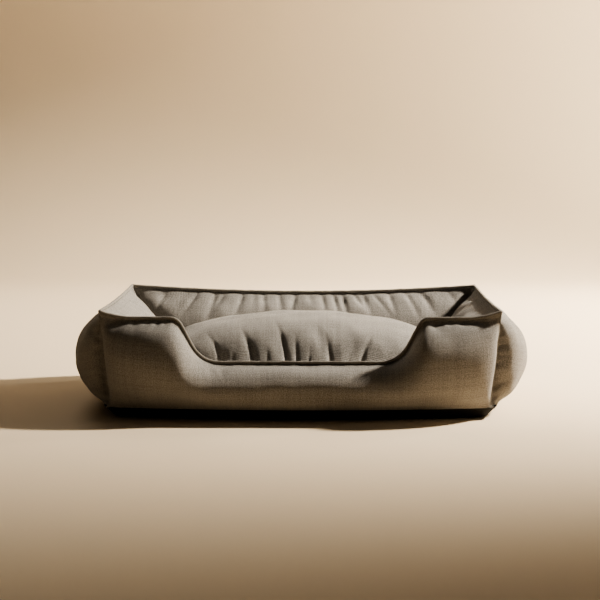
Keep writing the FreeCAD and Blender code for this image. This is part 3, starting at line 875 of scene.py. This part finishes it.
def panel_folds(wall, which, uv, along):
    """Height of the folds over one panel, from its flat coordinates."""
    side, inner = wall.side, which == "inner"
    rng = np.random.default_rng(FOLD_SEEDS[side] + (INNER_SEED if inner else 0))
    run, up = uv[..., 0], uv[..., 1]
    from_top = uv[:, :1, 1] - up
    width = run.max()
    height = np.zeros_like(run)
    if inner:
        spacing, length, depth, rise = (0.030, 0.036, 0.0026, 0.007)
        if side == "rear":
            spacing, length, depth, rise = (0.029, 0.090, 0.0080, 0.024)
        height += seam_folds(run, from_top, width, rng, spacing, length, depth, 0.0046, 0.75, rise)
        height += seam_folds(width - run, up, width, rng, 0.045, 0.040, 0.0028, 0.008)
    else:
        depth, raised = 0.00425, 1.0
        if side == "front":
            depth, raised = 0.0045, np.clip((np.abs(along) - SCOOP_HALF_TOP + 0.01) / 0.02, 0.35, 1.0)
        height += raised * seam_folds(run, from_top, width, rng, 0.021, 0.034, depth, 0.0055, 0.3)
        height += seam_folds(run, up, width, rng, 0.034, 0.026, 0.0020, 0.007)
    side_length, side_depth = SIDE_FOLDS[side]
    for away in (run, width - run):
        height += seam_folds(from_top, away, 0.24, rng, 0.0165, side_length, side_depth, 0.0046)
    if side == "front" and not inner:
        for start, end, fold_width, fold_depth in FRONT_FOLDS:
            forward, across, length = along_fold(along, from_top, start, end)
            height += fold(across, forward + 0.012, length + 0.024, fold_width, fold_depth, 0.02)
    lumps = (np.sin(run * 61 + 1.3 * wall.turn) * np.sin(up * 53 + wall.turn)
             + 0.7 * np.sin(run * 27 + up * 88 + 2.0) + 0.5 * np.sin(run * 118 - up * 71))
    from_edge = np.minimum(np.minimum(from_top, up), np.minimum(run, width - run))
    return height + LUMPS[side] * lumps * np.clip(from_edge / 0.03, 0.0, 1.0)


def wall_panel(wall, which):
    """One sewn panel: its swollen cloth, as points over the grid, and their flat coordinates."""
    start = wall.face(which, START_FULLNESS)
    outward = wall.facing(which)
    count, rows = start.shape[:2]
    faces = grid_faces(count, rows, flip=which == "outer")
    uv = cloth_uv(start)
    from_top = uv[:, :1, 1] - uv[..., 1]
    from_side = np.minimum(uv[..., 0], uv[-1:, :, 0] - uv[..., 0])
    near = np.minimum(np.minimum(from_top, from_side), uv[..., 1])
    gathered = np.clip(1.0 - near / GATHER_REACH, 0.0, 1.0)
    cloth = swell(f"{wall.side}_{which}", start, faces, gathered, SPARE[wall.side],
                  SPARE_GATHER[wall.side], WALL_PRESSURE)
    cloth = refined(wall.filled(smoothed(cloth, SMOOTHING[wall.side]), which))
    uv = refined(uv)
    along = refined(np.repeat(wall.edge[:, :1], rows, 1)[..., None])[..., 0]
    height = panel_folds(wall, which, uv, along)
    return cloth + height[..., None] * outward_normals(cloth, outward), uv


def cut_area(uv):
    """Area of the flat panel, from its height at each step along."""
    heights = uv[:, 0, 1]
    steps = np.diff(uv[:, 0, 0])
    return float(((heights[:-1] + heights[1:]) / 2 * steps).sum())


panels = {}
for side, wall in WALLS.items():
    for which in ("outer", "inner"):
        points, uv = wall_panel(wall, which)
        panels[side, which] = points
        node = f"{side}_{which}_panel"
        faces = grid_faces(*points.shape[:2], flip=which == "outer")
        piece = make_object(node + "_cloth", points.reshape(-1, 3), faces, canvas_cloth, uv.reshape(-1, 2))
        give_thickness(piece, CANVAS)
        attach(piece, "bed")
        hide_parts(node)
        flat = tuple(round(uv[..., k].max() + 2 * SEAM_ALLOWANCE, 3) for k in (0, 1))
        cut_area(uv)

# ---------------------------------------------------------------------------------------------
# Wall filling: loose siliconised polyester fibre, packed into each wall through its foot.
# ---------------------------------------------------------------------------------------------

FIBRE_INSET = 0.0050
FIBRE_END = 12                  # points of the panel from its end at which the filling stops


def loose_fibre():
    finish = Finish("loose_fibre", (0.90, 0.89, 0.86), 0.95, 0.5)
    place = finish.place(1.0, 1.0, 2.2)
    strands = finish.noise(place, 520.0, 6.0)
    tufts = finish.noise(finish.place(), 34.0, 4.0)
    finish.tint(strands * 0.6 + tufts * 0.6, (0.62, 0.61, 0.58), (0.95, 0.94, 0.92))
    finish.relief(strands * 0.4 + tufts, 0.0030)
    return finish.material


fibre = loose_fibre()
for side, wall in WALLS.items():
    skins = []
    for which in ("outer", "inner"):
        grid = panels[side, which]
        inward = -outward_normals(grid, wall.facing(which))
        skins.append((grid + inward * FIBRE_INSET)[FIBRE_END:-FIBRE_END:3, 4:-2:3])
    bundle = np.concatenate([skins[0], skins[1][:, ::-1]], 1)
    bundle[..., 2] = np.maximum(bundle[..., 2], BASE_Z + 0.002)
    body = np.swapaxes(bundle, 0, 1)
    ends = [body[:, 0].mean(0), body[:, -1].mean(0)]
    vertices = np.concatenate([body.reshape(-1, 3), ends])
    piece = make_object(side + "_fibre", vertices, ring_faces(*body.shape[:2], True, True), fibre)
    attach(piece, "bed")
    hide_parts(side + "_bolster_fill")

# ---------------------------------------------------------------------------------------------
# Piping: a twisted cotton cord in a bias-cut strip of the canvas, sewn into the top seam of each
# wall. The side walls' runs stop just short of the front's and rear's at the pointed corners.
# ---------------------------------------------------------------------------------------------

PIPING_RADIUS = 0.0032
PIPING_CORD_RADIUS = 0.0020
PIPING_SET_DOWN = 0.0004     # the piping beds into the seam
PIPING_SIDES = 14
CORD_SIDES = 12
STRANDS = 3
TWIST_LENGTH = 0.016


def tube(path, radius, sides, end_radius):
    """Points of a closed round tube along a path, with rounded ends; radius(run, angle) in metres."""
    path = np.asarray(path, float)
    first = path[0] - path[1]
    last = path[-1] - path[-2]
    first /= np.linalg.norm(first)
    last /= np.linalg.norm(last)
    caps = [(0.50, 0.87), (0.85, 0.53)]
    path = np.concatenate([[path[0] + first * end_radius * k for k, _ in caps[::-1]], path,
                           [path[-1] + last * end_radius * k for k, _ in caps]])
    scale = np.ones(len(path))
    scale[:2] = [r for _, r in caps[::-1]]
    scale[-2:] = [r for _, r in caps]
    tangent = np.gradient(path, axis=0)
    tangent /= np.linalg.norm(tangent, axis=1, keepdims=True)
    sideways = np.cross(tangent, (0.0, 0.0, 1.0))
    sideways /= np.linalg.norm(sideways, axis=1, keepdims=True)
    upright = np.cross(sideways, tangent)
    run = run_along(path)
    angle = np.linspace(0, 2 * math.pi, sides, endpoint=False)
    r = radius(run[:, None], angle[None, :]) * scale[:, None]
    ring = (path[:, None] + r[..., None] * (np.cos(angle)[None, :, None] * sideways[:, None]
                                            + np.sin(angle)[None, :, None] * upright[:, None]))
    vertices = np.concatenate([ring.swapaxes(0, 1).reshape(-1, 3),
                               [path[0] + first * end_radius * 0.15, path[-1] + last * end_radius * 0.15]])
    faces = ring_faces(sides, len(path), True, True)
    uv = np.stack([np.repeat(run[None, :], sides, 0), angle[:, None] * end_radius + 0 * run[None, :]], -1)
    uv = np.concatenate([uv.reshape(-1, 2), [(0.0, 0.0), (run[-1], 0.0)]])
    return vertices, faces, uv


def cover_radius(run, angle):
    waver = np.sin(run * 310) + np.sin(run * 190 + 2.0) + np.sin(run * 83 + 0.7)
    return PIPING_RADIUS - 0.0001 + 0.00010 * waver + 0.00012 * np.sin(angle * 2 + run * 140)


def cord_radius(run, angle):
    strand = np.abs(np.cos(STRANDS / 2 * (angle - 2 * math.pi * run / TWIST_LENGTH)))
    return PIPING_CORD_RADIUS * (0.80 + 0.20 * strand)


def cotton(name):
    finish = Finish(name, (0.80, 0.76, 0.67), 0.9, 0.3)
    hairs = finish.noise(finish.place(), 1500.0, 4.0)
    finish.tint(hairs, (0.58, 0.53, 0.44), (0.88, 0.85, 0.77))
    finish.relief(hairs, 0.0003)
    return finish.material


# Darker and narrower in tone than the walls' canvas: painted shade for the shadow in the piping's seams. The
# welt uses it too.
piping_cloth_painted_shade = canvas("piping_fabric", (0.135, 0.120, 0.101), (0.390, 0.355, 0.308), 0.0012,
                      math.radians(45), 0.00025)
cotton_cord = cotton("cotton_cord")
for side, wall in WALLS.items():
    gap = PIPING_RADIUS if side in ("right", "left") else 0.0
    edge = evenly(wall.edge, CLOTH_STEP / 2)
    edge = edge[np.abs(edge[:, 0]) <= wall.ear - gap]
    seam = wall.place(edge[:, 0], 0.0, edge[:, 1])
    slope = np.gradient(edge[:, 1]) / np.gradient(edge[:, 0])
    for _ in range(3):
        slope[1:-1] = (slope[:-2] + 2 * slope[1:-1] + slope[2:]) / 4
    lift = wall.turned(-slope, 0.0 * slope, 1.0) / np.sqrt(1 + slope ** 2)[:, None]
    middle = seam + lift * (PIPING_RADIUS - PIPING_SET_DOWN)
    cover_points, cover_faces, cover_uv = tube(middle, cover_radius, PIPING_SIDES, PIPING_RADIUS)
    cover = make_object(side + "_piping", cover_points, cover_faces, piping_cloth_painted_shade, cover_uv)
    cord_points, cord_faces, _ = tube(middle[1:-1], cord_radius, CORD_SIDES, PIPING_CORD_RADIUS)
    cord = make_object(side + "_cord", cord_points, cord_faces, cotton_cord)
    for piece, node, finish_slot in ((cover, "cover", "piping_fabric"), (cord, "cord", "cotton_cord")):
        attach(piece, "bed")
        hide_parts(f"{side}_piping_{node}")

# ---------------------------------------------------------------------------------------------
# Cushion: a loose pillow of the same canvas, a domed top panel and a deep bottom panel sewn
# together with a fine welt, stuffed with fibre through the zip in its rear edge. Its front is
# pushed into the entrance, where the top gathers into deep folds.
# ---------------------------------------------------------------------------------------------

CUSHION_HALF_X = 0.268
CUSHION_HALF_Y = 0.166
CUSHION_FRONT_BOW = 0.020
CUSHION_FRONT_DROP = 0.012
DROP_START = 0.02               # height over the cushion's foot at which the drop starts
DROP_RISE = 0.06                # height over which it grows to its full amount
CUSHION_CORNER = 0.084
CUSHION_SEAM_Z = 0.105
CUSHION_TOP_Z = 0.1745
CUSHION_FOOT_Z = 0.0227
CUSHION_STEP = 0.0052
CUSHION_START = 0.86            # share of its height at which the top starts to swell
CUSHION_SPARE = (0.020, 0.075)  # spare cloth over the top panel and beside its seam
CUSHION_PRESSURE = 3.0
CUSHION_SMOOTHING = 5
WELT_RADIUS = 0.0020
WELT_SIDES = 12
FILL_INSET = 0.0045             # from the bottom panel to the filling
FILL_TOP_INSET = 0.0150         # the same above the filling's shoulder
FILL_SHOULDER_Z = 0.08
FILL_LIFT = 0.002
FILL_TOP_GAP = 0.014
CUSHION_ZIP_Z = 0.046
CUSHION_ZIP_HALF = 0.160

FOLD_WIDTH = 0.66               # share of the widths below that the folds' valleys keep

# Deep folds over the front of the top: low end, high end, width and depth, in metres.
CUSHION_FOLDS = [
    ((-0.150, -0.184), (-0.184, -0.096), 0.0072, 0.0090),
    ((-0.128, -0.184), (-0.134, -0.152), 0.0056, 0.0050),
    ((-0.088, -0.188), (-0.120, -0.096), 0.0074, 0.0092),
    ((-0.062, -0.188), (-0.066, -0.158), 0.0052, 0.0050),
    ((-0.026, -0.186), (-0.050, -0.084), 0.0072, 0.0090),
    ((-0.006, -0.188), (-0.012, -0.130), 0.0058, 0.0066),
    ((0.016, -0.188), (0.018, -0.158), 0.0048, 0.0042),
    ((0.060, -0.188), (0.046, -0.122), 0.0066, 0.0078),
    ((0.090, -0.186), (0.100, -0.158), 0.0050, 0.0042),
    ((0.114, -0.186), (0.142, -0.112), 0.0068, 0.0080),
    ((0.178, -0.176), (0.202, -0.126), 0.0060, 0.0044),
    ((-0.196, -0.168), (-0.216, -0.120), 0.0060, 0.0046),
]


def cushion_border(u, v):
    """The seam's outline at a point (u, v) of a square's border."""
    arc = CUSHION_CORNER * math.pi / 4

    def half_edge(share, beyond, along):
        straight = along - CUSHION_CORNER
        s = np.abs(share) * (straight + arc)
        turn = np.clip((s - straight) / CUSHION_CORNER, 0.0, None)
        return (beyond - CUSHION_CORNER * (1 - np.cos(turn)),
                np.where(s < straight, s, straight + CUSHION_CORNER * np.sin(turn)))

    side_x, side_y = half_edge(v, CUSHION_HALF_X, CUSHION_HALF_Y)
    end_y, end_x = half_edge(u, CUSHION_HALF_Y, CUSHION_HALF_X)
    on_side = np.abs(u) >= np.abs(v)
    return np.sign(u) * np.where(on_side, side_x, end_x), np.sign(v) * np.where(on_side, side_y, end_y)


def settled(points):
    """Points of the cushion let down at its front, where it leans on the entrance."""
    points = np.array(points, float)
    toward_front = np.clip(-points[..., 1] / CUSHION_HALF_Y, 0.0, 1.0) ** 4
    above_foot = np.clip((points[..., 2] - CUSHION_FOOT_Z - DROP_START) / DROP_RISE, 0.0, 1.0)
    points[..., 2] -= CUSHION_FRONT_DROP * toward_front * above_foot
    return points


def front_bow(x, y):
    """How far the cushion's front is pushed out, less and less towards its middle."""
    across = np.clip(1 - (x / (CUSHION_HALF_X - CUSHION_CORNER)) ** 2, 0.0, None)
    return CUSHION_FRONT_BOW * across * np.clip(-y / CUSHION_HALF_Y, 0.0, None) ** 2


def cushion_top_start():
    """Flat place and starting height of the top panel's points."""
    u = np.linspace(-1, 1, int(round(2 * CUSHION_HALF_X / CUSHION_STEP)))[:, None]
    v = np.linspace(-1, 1, int(round(2 * CUSHION_HALF_Y / CUSHION_STEP)))[None, :]
    out = np.maximum(np.abs(u), np.abs(v))
    border_x, border_y = cushion_border(u / out, v / out)
    share = out ** 4
    x = u * CUSHION_HALF_X * (1 - share) + border_x * out * share
    y = v * CUSHION_HALF_Y * (1 - share) + border_y * out * share
    y = y - front_bow(x, y)
    dome = np.clip((1 - u ** 2) * (1 - v ** 2), 0.0, None) ** 0.45
    return x, y, dome


def cushion_top():
    x, y, dome = cushion_top_start()
    crown = CUSHION_TOP_Z - CUSHION_SEAM_Z
    start = np.stack([x, y, CUSHION_SEAM_Z + crown * CUSHION_START * dome], -1)
    near = np.clip(1.0 - dome * 1.8, 0.0, 1.0)
    cloth = swell("cushion_top", start, grid_faces(*x.shape), near, *CUSHION_SPARE, CUSHION_PRESSURE)
    cloth = smoothed(cloth, CUSHION_SMOOTHING)
    reached = cloth[..., 2].max() - CUSHION_SEAM_Z
    cloth[..., 2] = CUSHION_SEAM_Z + (cloth[..., 2] - CUSHION_SEAM_Z) * crown / reached
    cloth = refined(cloth)
    flat = refined(np.stack([x, y], -1))
    x, y = flat[..., 0], flat[..., 1]
    height = 0.0009 * (np.sin(x * 57 + 1) * np.sin(y * 49 + 2) + 0.7 * np.sin(x * 29 - y * 83))
    for low_end, high_end, width, depth in CUSHION_FOLDS:
        forward, across, length = along_fold(x, y, low_end, high_end)
        height += fold(across, forward + 0.010, length + 0.010, FOLD_WIDTH * width, depth, 0.012, -0.3)
    rng = np.random.default_rng(53)
    border = refined(dome[..., None])[..., 0]
    around = np.arctan2(y / CUSHION_HALF_Y, x / CUSHION_HALF_X)
    perimeter = around * 0.26 + 0.82
    away = border * 0.085
    puckers = seam_folds(perimeter, away, 1.64, rng, 0.034, 0.045, 0.0034, 0.0065)
    height = height + puckers * (y > -CUSHION_HALF_Y * 0.75)
    height = height * np.clip(border / 0.12, 0.0, 1.0)
    cloth = cloth + height[..., None] * outward_normals(cloth, (0.0, 0.0, 1.0))
    return cloth, flat


cushion_cloth, cushion_flat = cushion_top()
cushion_upper = make_object("cushion_top", settled(cushion_cloth.reshape(-1, 3)),
                            grid_faces(*cushion_cloth.shape[:2]), canvas_cloth, cushion_flat.reshape(-1, 2))
give_thickness(cushion_upper, CANVAS)
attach(cushion_upper, "cushion")
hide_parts("cushion_top_panel")


def cushion_line():
    """The seam's outline, counter-clockwise from the rear right corner's end, as (x, y)."""
    flat_x, flat_y = CUSHION_HALF_X - CUSHION_CORNER, CUSHION_HALF_Y - CUSHION_CORNER
    arc = np.linspace(0, math.pi / 2, 25)[:-1]

    def corner(sign_x, sign_y, start):
        return np.stack([sign_x * flat_x + CUSHION_CORNER * np.cos(arc + start),
                         sign_y * flat_y + CUSHION_CORNER * np.sin(arc + start)], 1)

    rear_x = np.concatenate([np.linspace(flat_x, CUSHION_ZIP_HALF, 6)[:-1],
                             np.linspace(CUSHION_ZIP_HALF, -CUSHION_ZIP_HALF, 81)[:-1],
                             np.linspace(-CUSHION_ZIP_HALF, -flat_x, 6)[:-1]])
    rear = np.stack([rear_x, np.full(len(rear_x), CUSHION_HALF_Y)], 1)
    side_y = np.linspace(flat_y, -flat_y, 31)[:-1]
    left = np.stack([np.full(30, -CUSHION_HALF_X), side_y], 1)
    front_x = np.linspace(-flat_x, flat_x, 81)[:-1]
    front = np.stack([front_x, np.full(80, -CUSHION_HALF_Y)], 1)
    right = np.stack([np.full(30, CUSHION_HALF_X), -side_y], 1)
    line = np.concatenate([rear, corner(-1, 1, math.pi / 2), left, corner(-1, -1, math.pi), front,
                           corner(1, -1, 1.5 * math.pi), right, corner(1, 1, 0.0)])
    line[:, 1] -= front_bow(line[:, 0], line[:, 1])
    return line


def inward(line):
    """Unit vectors square to a closed counter-clockwise line, towards its inside."""
    along = np.roll(line, -1, 0) - np.roll(line, 1, 0)
    along /= np.linalg.norm(along, axis=1, keepdims=True)
    return np.stack([-along[:, 1], along[:, 0]], 1)


zip_low, zip_high = CUSHION_ZIP_Z - ZIP_HALF_OPENING, CUSHION_ZIP_Z + ZIP_HALF_OPENING
zip_rows = [(z, 0.0) for z in np.linspace(zip_low, zip_high, 6)]
# The bottom panel from its foot up, as (height, inset).
cushion_wall = [(CUSHION_FOOT_Z, 0.0270), (0.0238, 0.0190), (0.0264, 0.0110), (0.0305, 0.0042),
                (0.0350, 0.0004)]
cushion_wall += zip_rows
cushion_wall += [(0.0565, 0.0), (0.066, -0.0004), (0.076, -0.0009), (0.086, -0.0010), (0.095, -0.0006),
                 (0.1005, 0.0), (CUSHION_SEAM_Z, 0.0004)]
seam_line = cushion_line()
seam_inward = inward(seam_line)


def cushion_bottom():
    """The deep bottom panel: flat where it rests, upright at the zip, rounded out below the welt."""
    rings = [np.column_stack([seam_line + seam_inward * inset, np.full(len(seam_line), z)])
             for z, inset in cushion_wall]
    under = [rings[0] * (k, k, 1.0) for k in np.linspace(0.03, 0.985, 40)]
    skin = np.stack(under + rings, 1)
    run = run_along(seam_line)
    rng = np.random.default_rng(67)
    x, y, z = skin[..., 0], skin[..., 1], skin[..., 2]
    down = np.clip(CUSHION_SEAM_Z - z, 0.0, None)
    height = seam_folds(run[:, None] + 0 * z, down, run[-1], rng, 0.030, 0.034, 0.0024, 0.0062)
    low = np.clip(z - CUSHION_FOOT_Z, 0.0, None)
    height = height + seam_folds(run[:, None] + 0 * z, low, run[-1], rng, 0.044, 0.026, 0.0024, 0.008)
    resting = z <= CUSHION_FOOT_Z + 1e-4
    beside_zip = (y > CUSHION_HALF_Y - 0.004) & (z < 0.058)
    height = np.where(resting | beside_zip, 0.0, height)
    skin[..., :2] -= seam_inward[:, None] * height[..., None]
    skin[..., 2] += np.where(resting, 0.0002 * (1 + np.sin(x * 70) * np.sin(y * 80)), 0.0)
    vertices = np.concatenate([skin.reshape(-1, 3), [(0.0, 0.0, CUSHION_FOOT_Z)]])
    faces = ring_faces(*skin.shape[:2], True, False)
    faces = without_opening(vertices, faces, CUSHION_HALF_Y - 0.001, CUSHION_ZIP_HALF, zip_low, zip_high)
    on_wall = np.arange(skin.shape[1]) >= len(under)
    uv = np.where(on_wall[None, :, None], np.stack([run[:, None] + 0 * z, z], -1), skin[..., :2])
    uv = np.concatenate([uv.reshape(-1, 2), [(0.0, 0.0)]])
    return make_object("cushion_bottom", settled(vertices), faces, canvas_cloth, uv)


cushion_lower = cushion_bottom()
give_thickness(cushion_lower, CANVAS)
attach(cushion_lower, "cushion")
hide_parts("cushion_bottom_panel")

welt_path = np.column_stack([seam_line - seam_inward * (WELT_RADIUS - 0.0004),
                             np.full(len(seam_line), CUSHION_SEAM_Z)])


def welt_ring(path, sides):
    """A closed round ring along a closed path, slightly uneven."""
    angle = np.linspace(0, 2 * math.pi, sides, endpoint=False)
    run = np.arange(len(path)) / len(path) * 2 * math.pi
    r = WELT_RADIUS * (1 + 0.04 * np.sin(run * 61)[:, None] + 0.03 * np.sin(angle * 2)[None, :])
    outward = np.column_stack([-seam_inward, np.zeros(len(path))])
    ring = path[:, None] + r[..., None] * (np.cos(angle)[None, :, None] * outward[:, None]
                                           + np.sin(angle)[None, :, None] * np.array([0.0, 0.0, 1.0]))
    count = len(path)
    faces = [(i * sides + j, ((i + 1) % count) * sides + j, ((i + 1) % count) * sides + (j + 1) % sides,
              i * sides + (j + 1) % sides) for i in range(count) for j in range(sides)]
    length = np.linalg.norm(np.diff(path, axis=0), axis=1).sum()
    uv = np.stack([np.repeat(run[:, None] / (2 * math.pi) * length, sides, 1),
                   angle[None, :] * WELT_RADIUS + 0 * run[:, None]], -1)
    return ring.reshape(-1, 3), faces, uv.reshape(-1, 2)


welt_points, welt_faces, welt_uv = welt_ring(welt_path, WELT_SIDES)
# The welt takes the piping's cloth, darkened as painted shade.
welt = make_object("cushion_welt_cord", settled(welt_points), welt_faces, piping_cloth_painted_shade, welt_uv)
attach(welt, "cushion")
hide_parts("cushion_welt")


def cushion_filling():
    """Fibre inside the cushion, clear of the folds in its top."""
    rings = []
    for z, inset in cushion_wall:
        inset += FILL_INSET if z < FILL_SHOULDER_Z else FILL_TOP_INSET
        lift = FILL_LIFT if z == CUSHION_FOOT_Z else 0.0
        rings.append(np.column_stack([seam_line + seam_inward * inset, np.full(len(seam_line), z + lift)]))
    under = [rings[0] * (k, k, 1.0) for k in (0.04, 0.35, 0.70)]
    crown = CUSHION_TOP_Z - CUSHION_SEAM_Z - FILL_TOP_GAP
    over = []
    for k in np.sin(np.linspace(math.radians(86), 0.04, 22))[::-1]:
        shrink = math.sqrt(1 - k * k)
        over.append(rings[-1] * (shrink, shrink, 0.0) + (0.0, 0.0, CUSHION_SEAM_Z + crown * k ** 1.2))
    body = np.stack(under + rings + over, 1)
    ends = [(0.0, 0.0, CUSHION_FOOT_Z + FILL_LIFT), (0.0, 0.0, CUSHION_SEAM_Z + crown)]
    vertices = np.concatenate([body.reshape(-1, 3), ends])
    return make_object("cushion_fibre", settled(vertices), ring_faces(*body.shape[:2], True, True), fibre)


stuffing = cushion_filling()
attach(stuffing, "cushion")
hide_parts("cushion_fill")

# ---------------------------------------------------------------------------------------------
# Zips: two coil zips, one in the cushion's rear edge and one in the tray's rear band, so that
# both covers can be emptied and washed. Woven tapes, a nylon coil, metal slider, pull and stops.
# ---------------------------------------------------------------------------------------------

COIL_SPACING = 0.00125
COIL_TOOTH = (0.00042, 0.00062, 0.00115)    # half sizes: along, out of the tape, across
COIL_OFFSET = 0.00145
STITCH_FROM_OPENING = 0.0020


def zip_tape_cloth():
    finish = Finish("zip_tape", (0.20, 0.18, 0.155), 0.85, 0.2)
    place = finish.place()
    split = finish.add("SeparateXYZ", None, _0=place)
    rib = 0.00055
    along = finish.value(split.outputs[0]) / rib
    across = finish.value(split.outputs[2]) / (rib * 1.6)
    slanted = (along + across.apply("PINGPONG", 2.0)) * (2 * math.pi)
    weave = slanted.apply("SINE") * 0.5 + 0.5
    fleck = finish.noise(place, 2400.0, 2.0)
    finish.tint(weave * 0.6 + fleck * 0.4, (0.110, 0.098, 0.084), (0.270, 0.245, 0.210))
    finish.relief(weave, 0.0002)
    return finish.material


def gun_metal():
    finish = Finish("zip_metal", (0.25, 0.245, 0.235), 0.35)
    finish.shader.inputs["Metallic"].default_value = 1.0
    brushed = finish.noise(finish.place(200.0, 4000.0, 4000.0), 1.0, 3.0)
    rubbed = finish.noise(finish.place(), 420.0, 4.0)
    finish.tint(rubbed, (0.16, 0.155, 0.15), (0.46, 0.45, 0.43))
    finish.feed(Roughness=0.24 + brushed * 0.22 + rubbed * 0.12)
    finish.relief(brushed * 0.4 + rubbed * 0.6, 0.00008)
    return finish.material


tape_cloth = zip_tape_cloth()
metal = gun_metal()
coil_nylon = rubber_and_thread("zip_coil", (0.070, 0.062, 0.052), (0.170, 0.152, 0.128), 0.4, 1800.0)
taupe_thread = rubber_and_thread("taupe_thread", (0.150, 0.135, 0.115), (0.330, 0.300, 0.260), 0.75, 2600.0)

for name, body, fabric_slot, thread in (("cushion", "cushion", "canvas", taupe_thread),
                                        ("casing", "bed", "nonslip_fabric", black_thread)):
    for part, material in (("tape_upper", tape_cloth), ("tape_lower", tape_cloth), ("stops", metal),
                           ("slider", metal), ("pull", metal)):
        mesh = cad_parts[f"{name}_zip_{part}"].data
        mesh.materials.clear()
        mesh.materials.append(material)
    coil_low, coil_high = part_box(name + "_zip_coil")
    middle_y, middle_z = (coil_low.y + coil_high.y) / 2, (coil_low.z + coil_high.z) / 2
    rows = [[(coil_low.x + shift, middle_y, middle_z + side * COIL_OFFSET),
             (coil_high.x - COIL_SPACING / 2 + shift, middle_y, middle_z + side * COIL_OFFSET)]
            for side, shift in ((1, 0.0), (-1, COIL_SPACING / 2))]
    coil = set_along(name + "_zip_teeth", rows, COIL_SPACING, COIL_TOOTH, coil_nylon)
    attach(coil, body)
    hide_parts(name + "_zip_coil")
    tape_low, tape_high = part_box(name + "_zip_tape_upper")
    reach = ZIP_HALF_OPENING + STITCH_FROM_OPENING
    face_y = tape_high.y + 0.0006
    stitched = [[(x, face_y, middle_z + side * reach) for x in (tape_low.x, tape_high.x)] for side in (1, -1)]
    seam = set_along(name + "_zip_stitches", stitched, STITCH_SPACING, STITCH_SIZE, thread, 0.10)
    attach(seam, body)
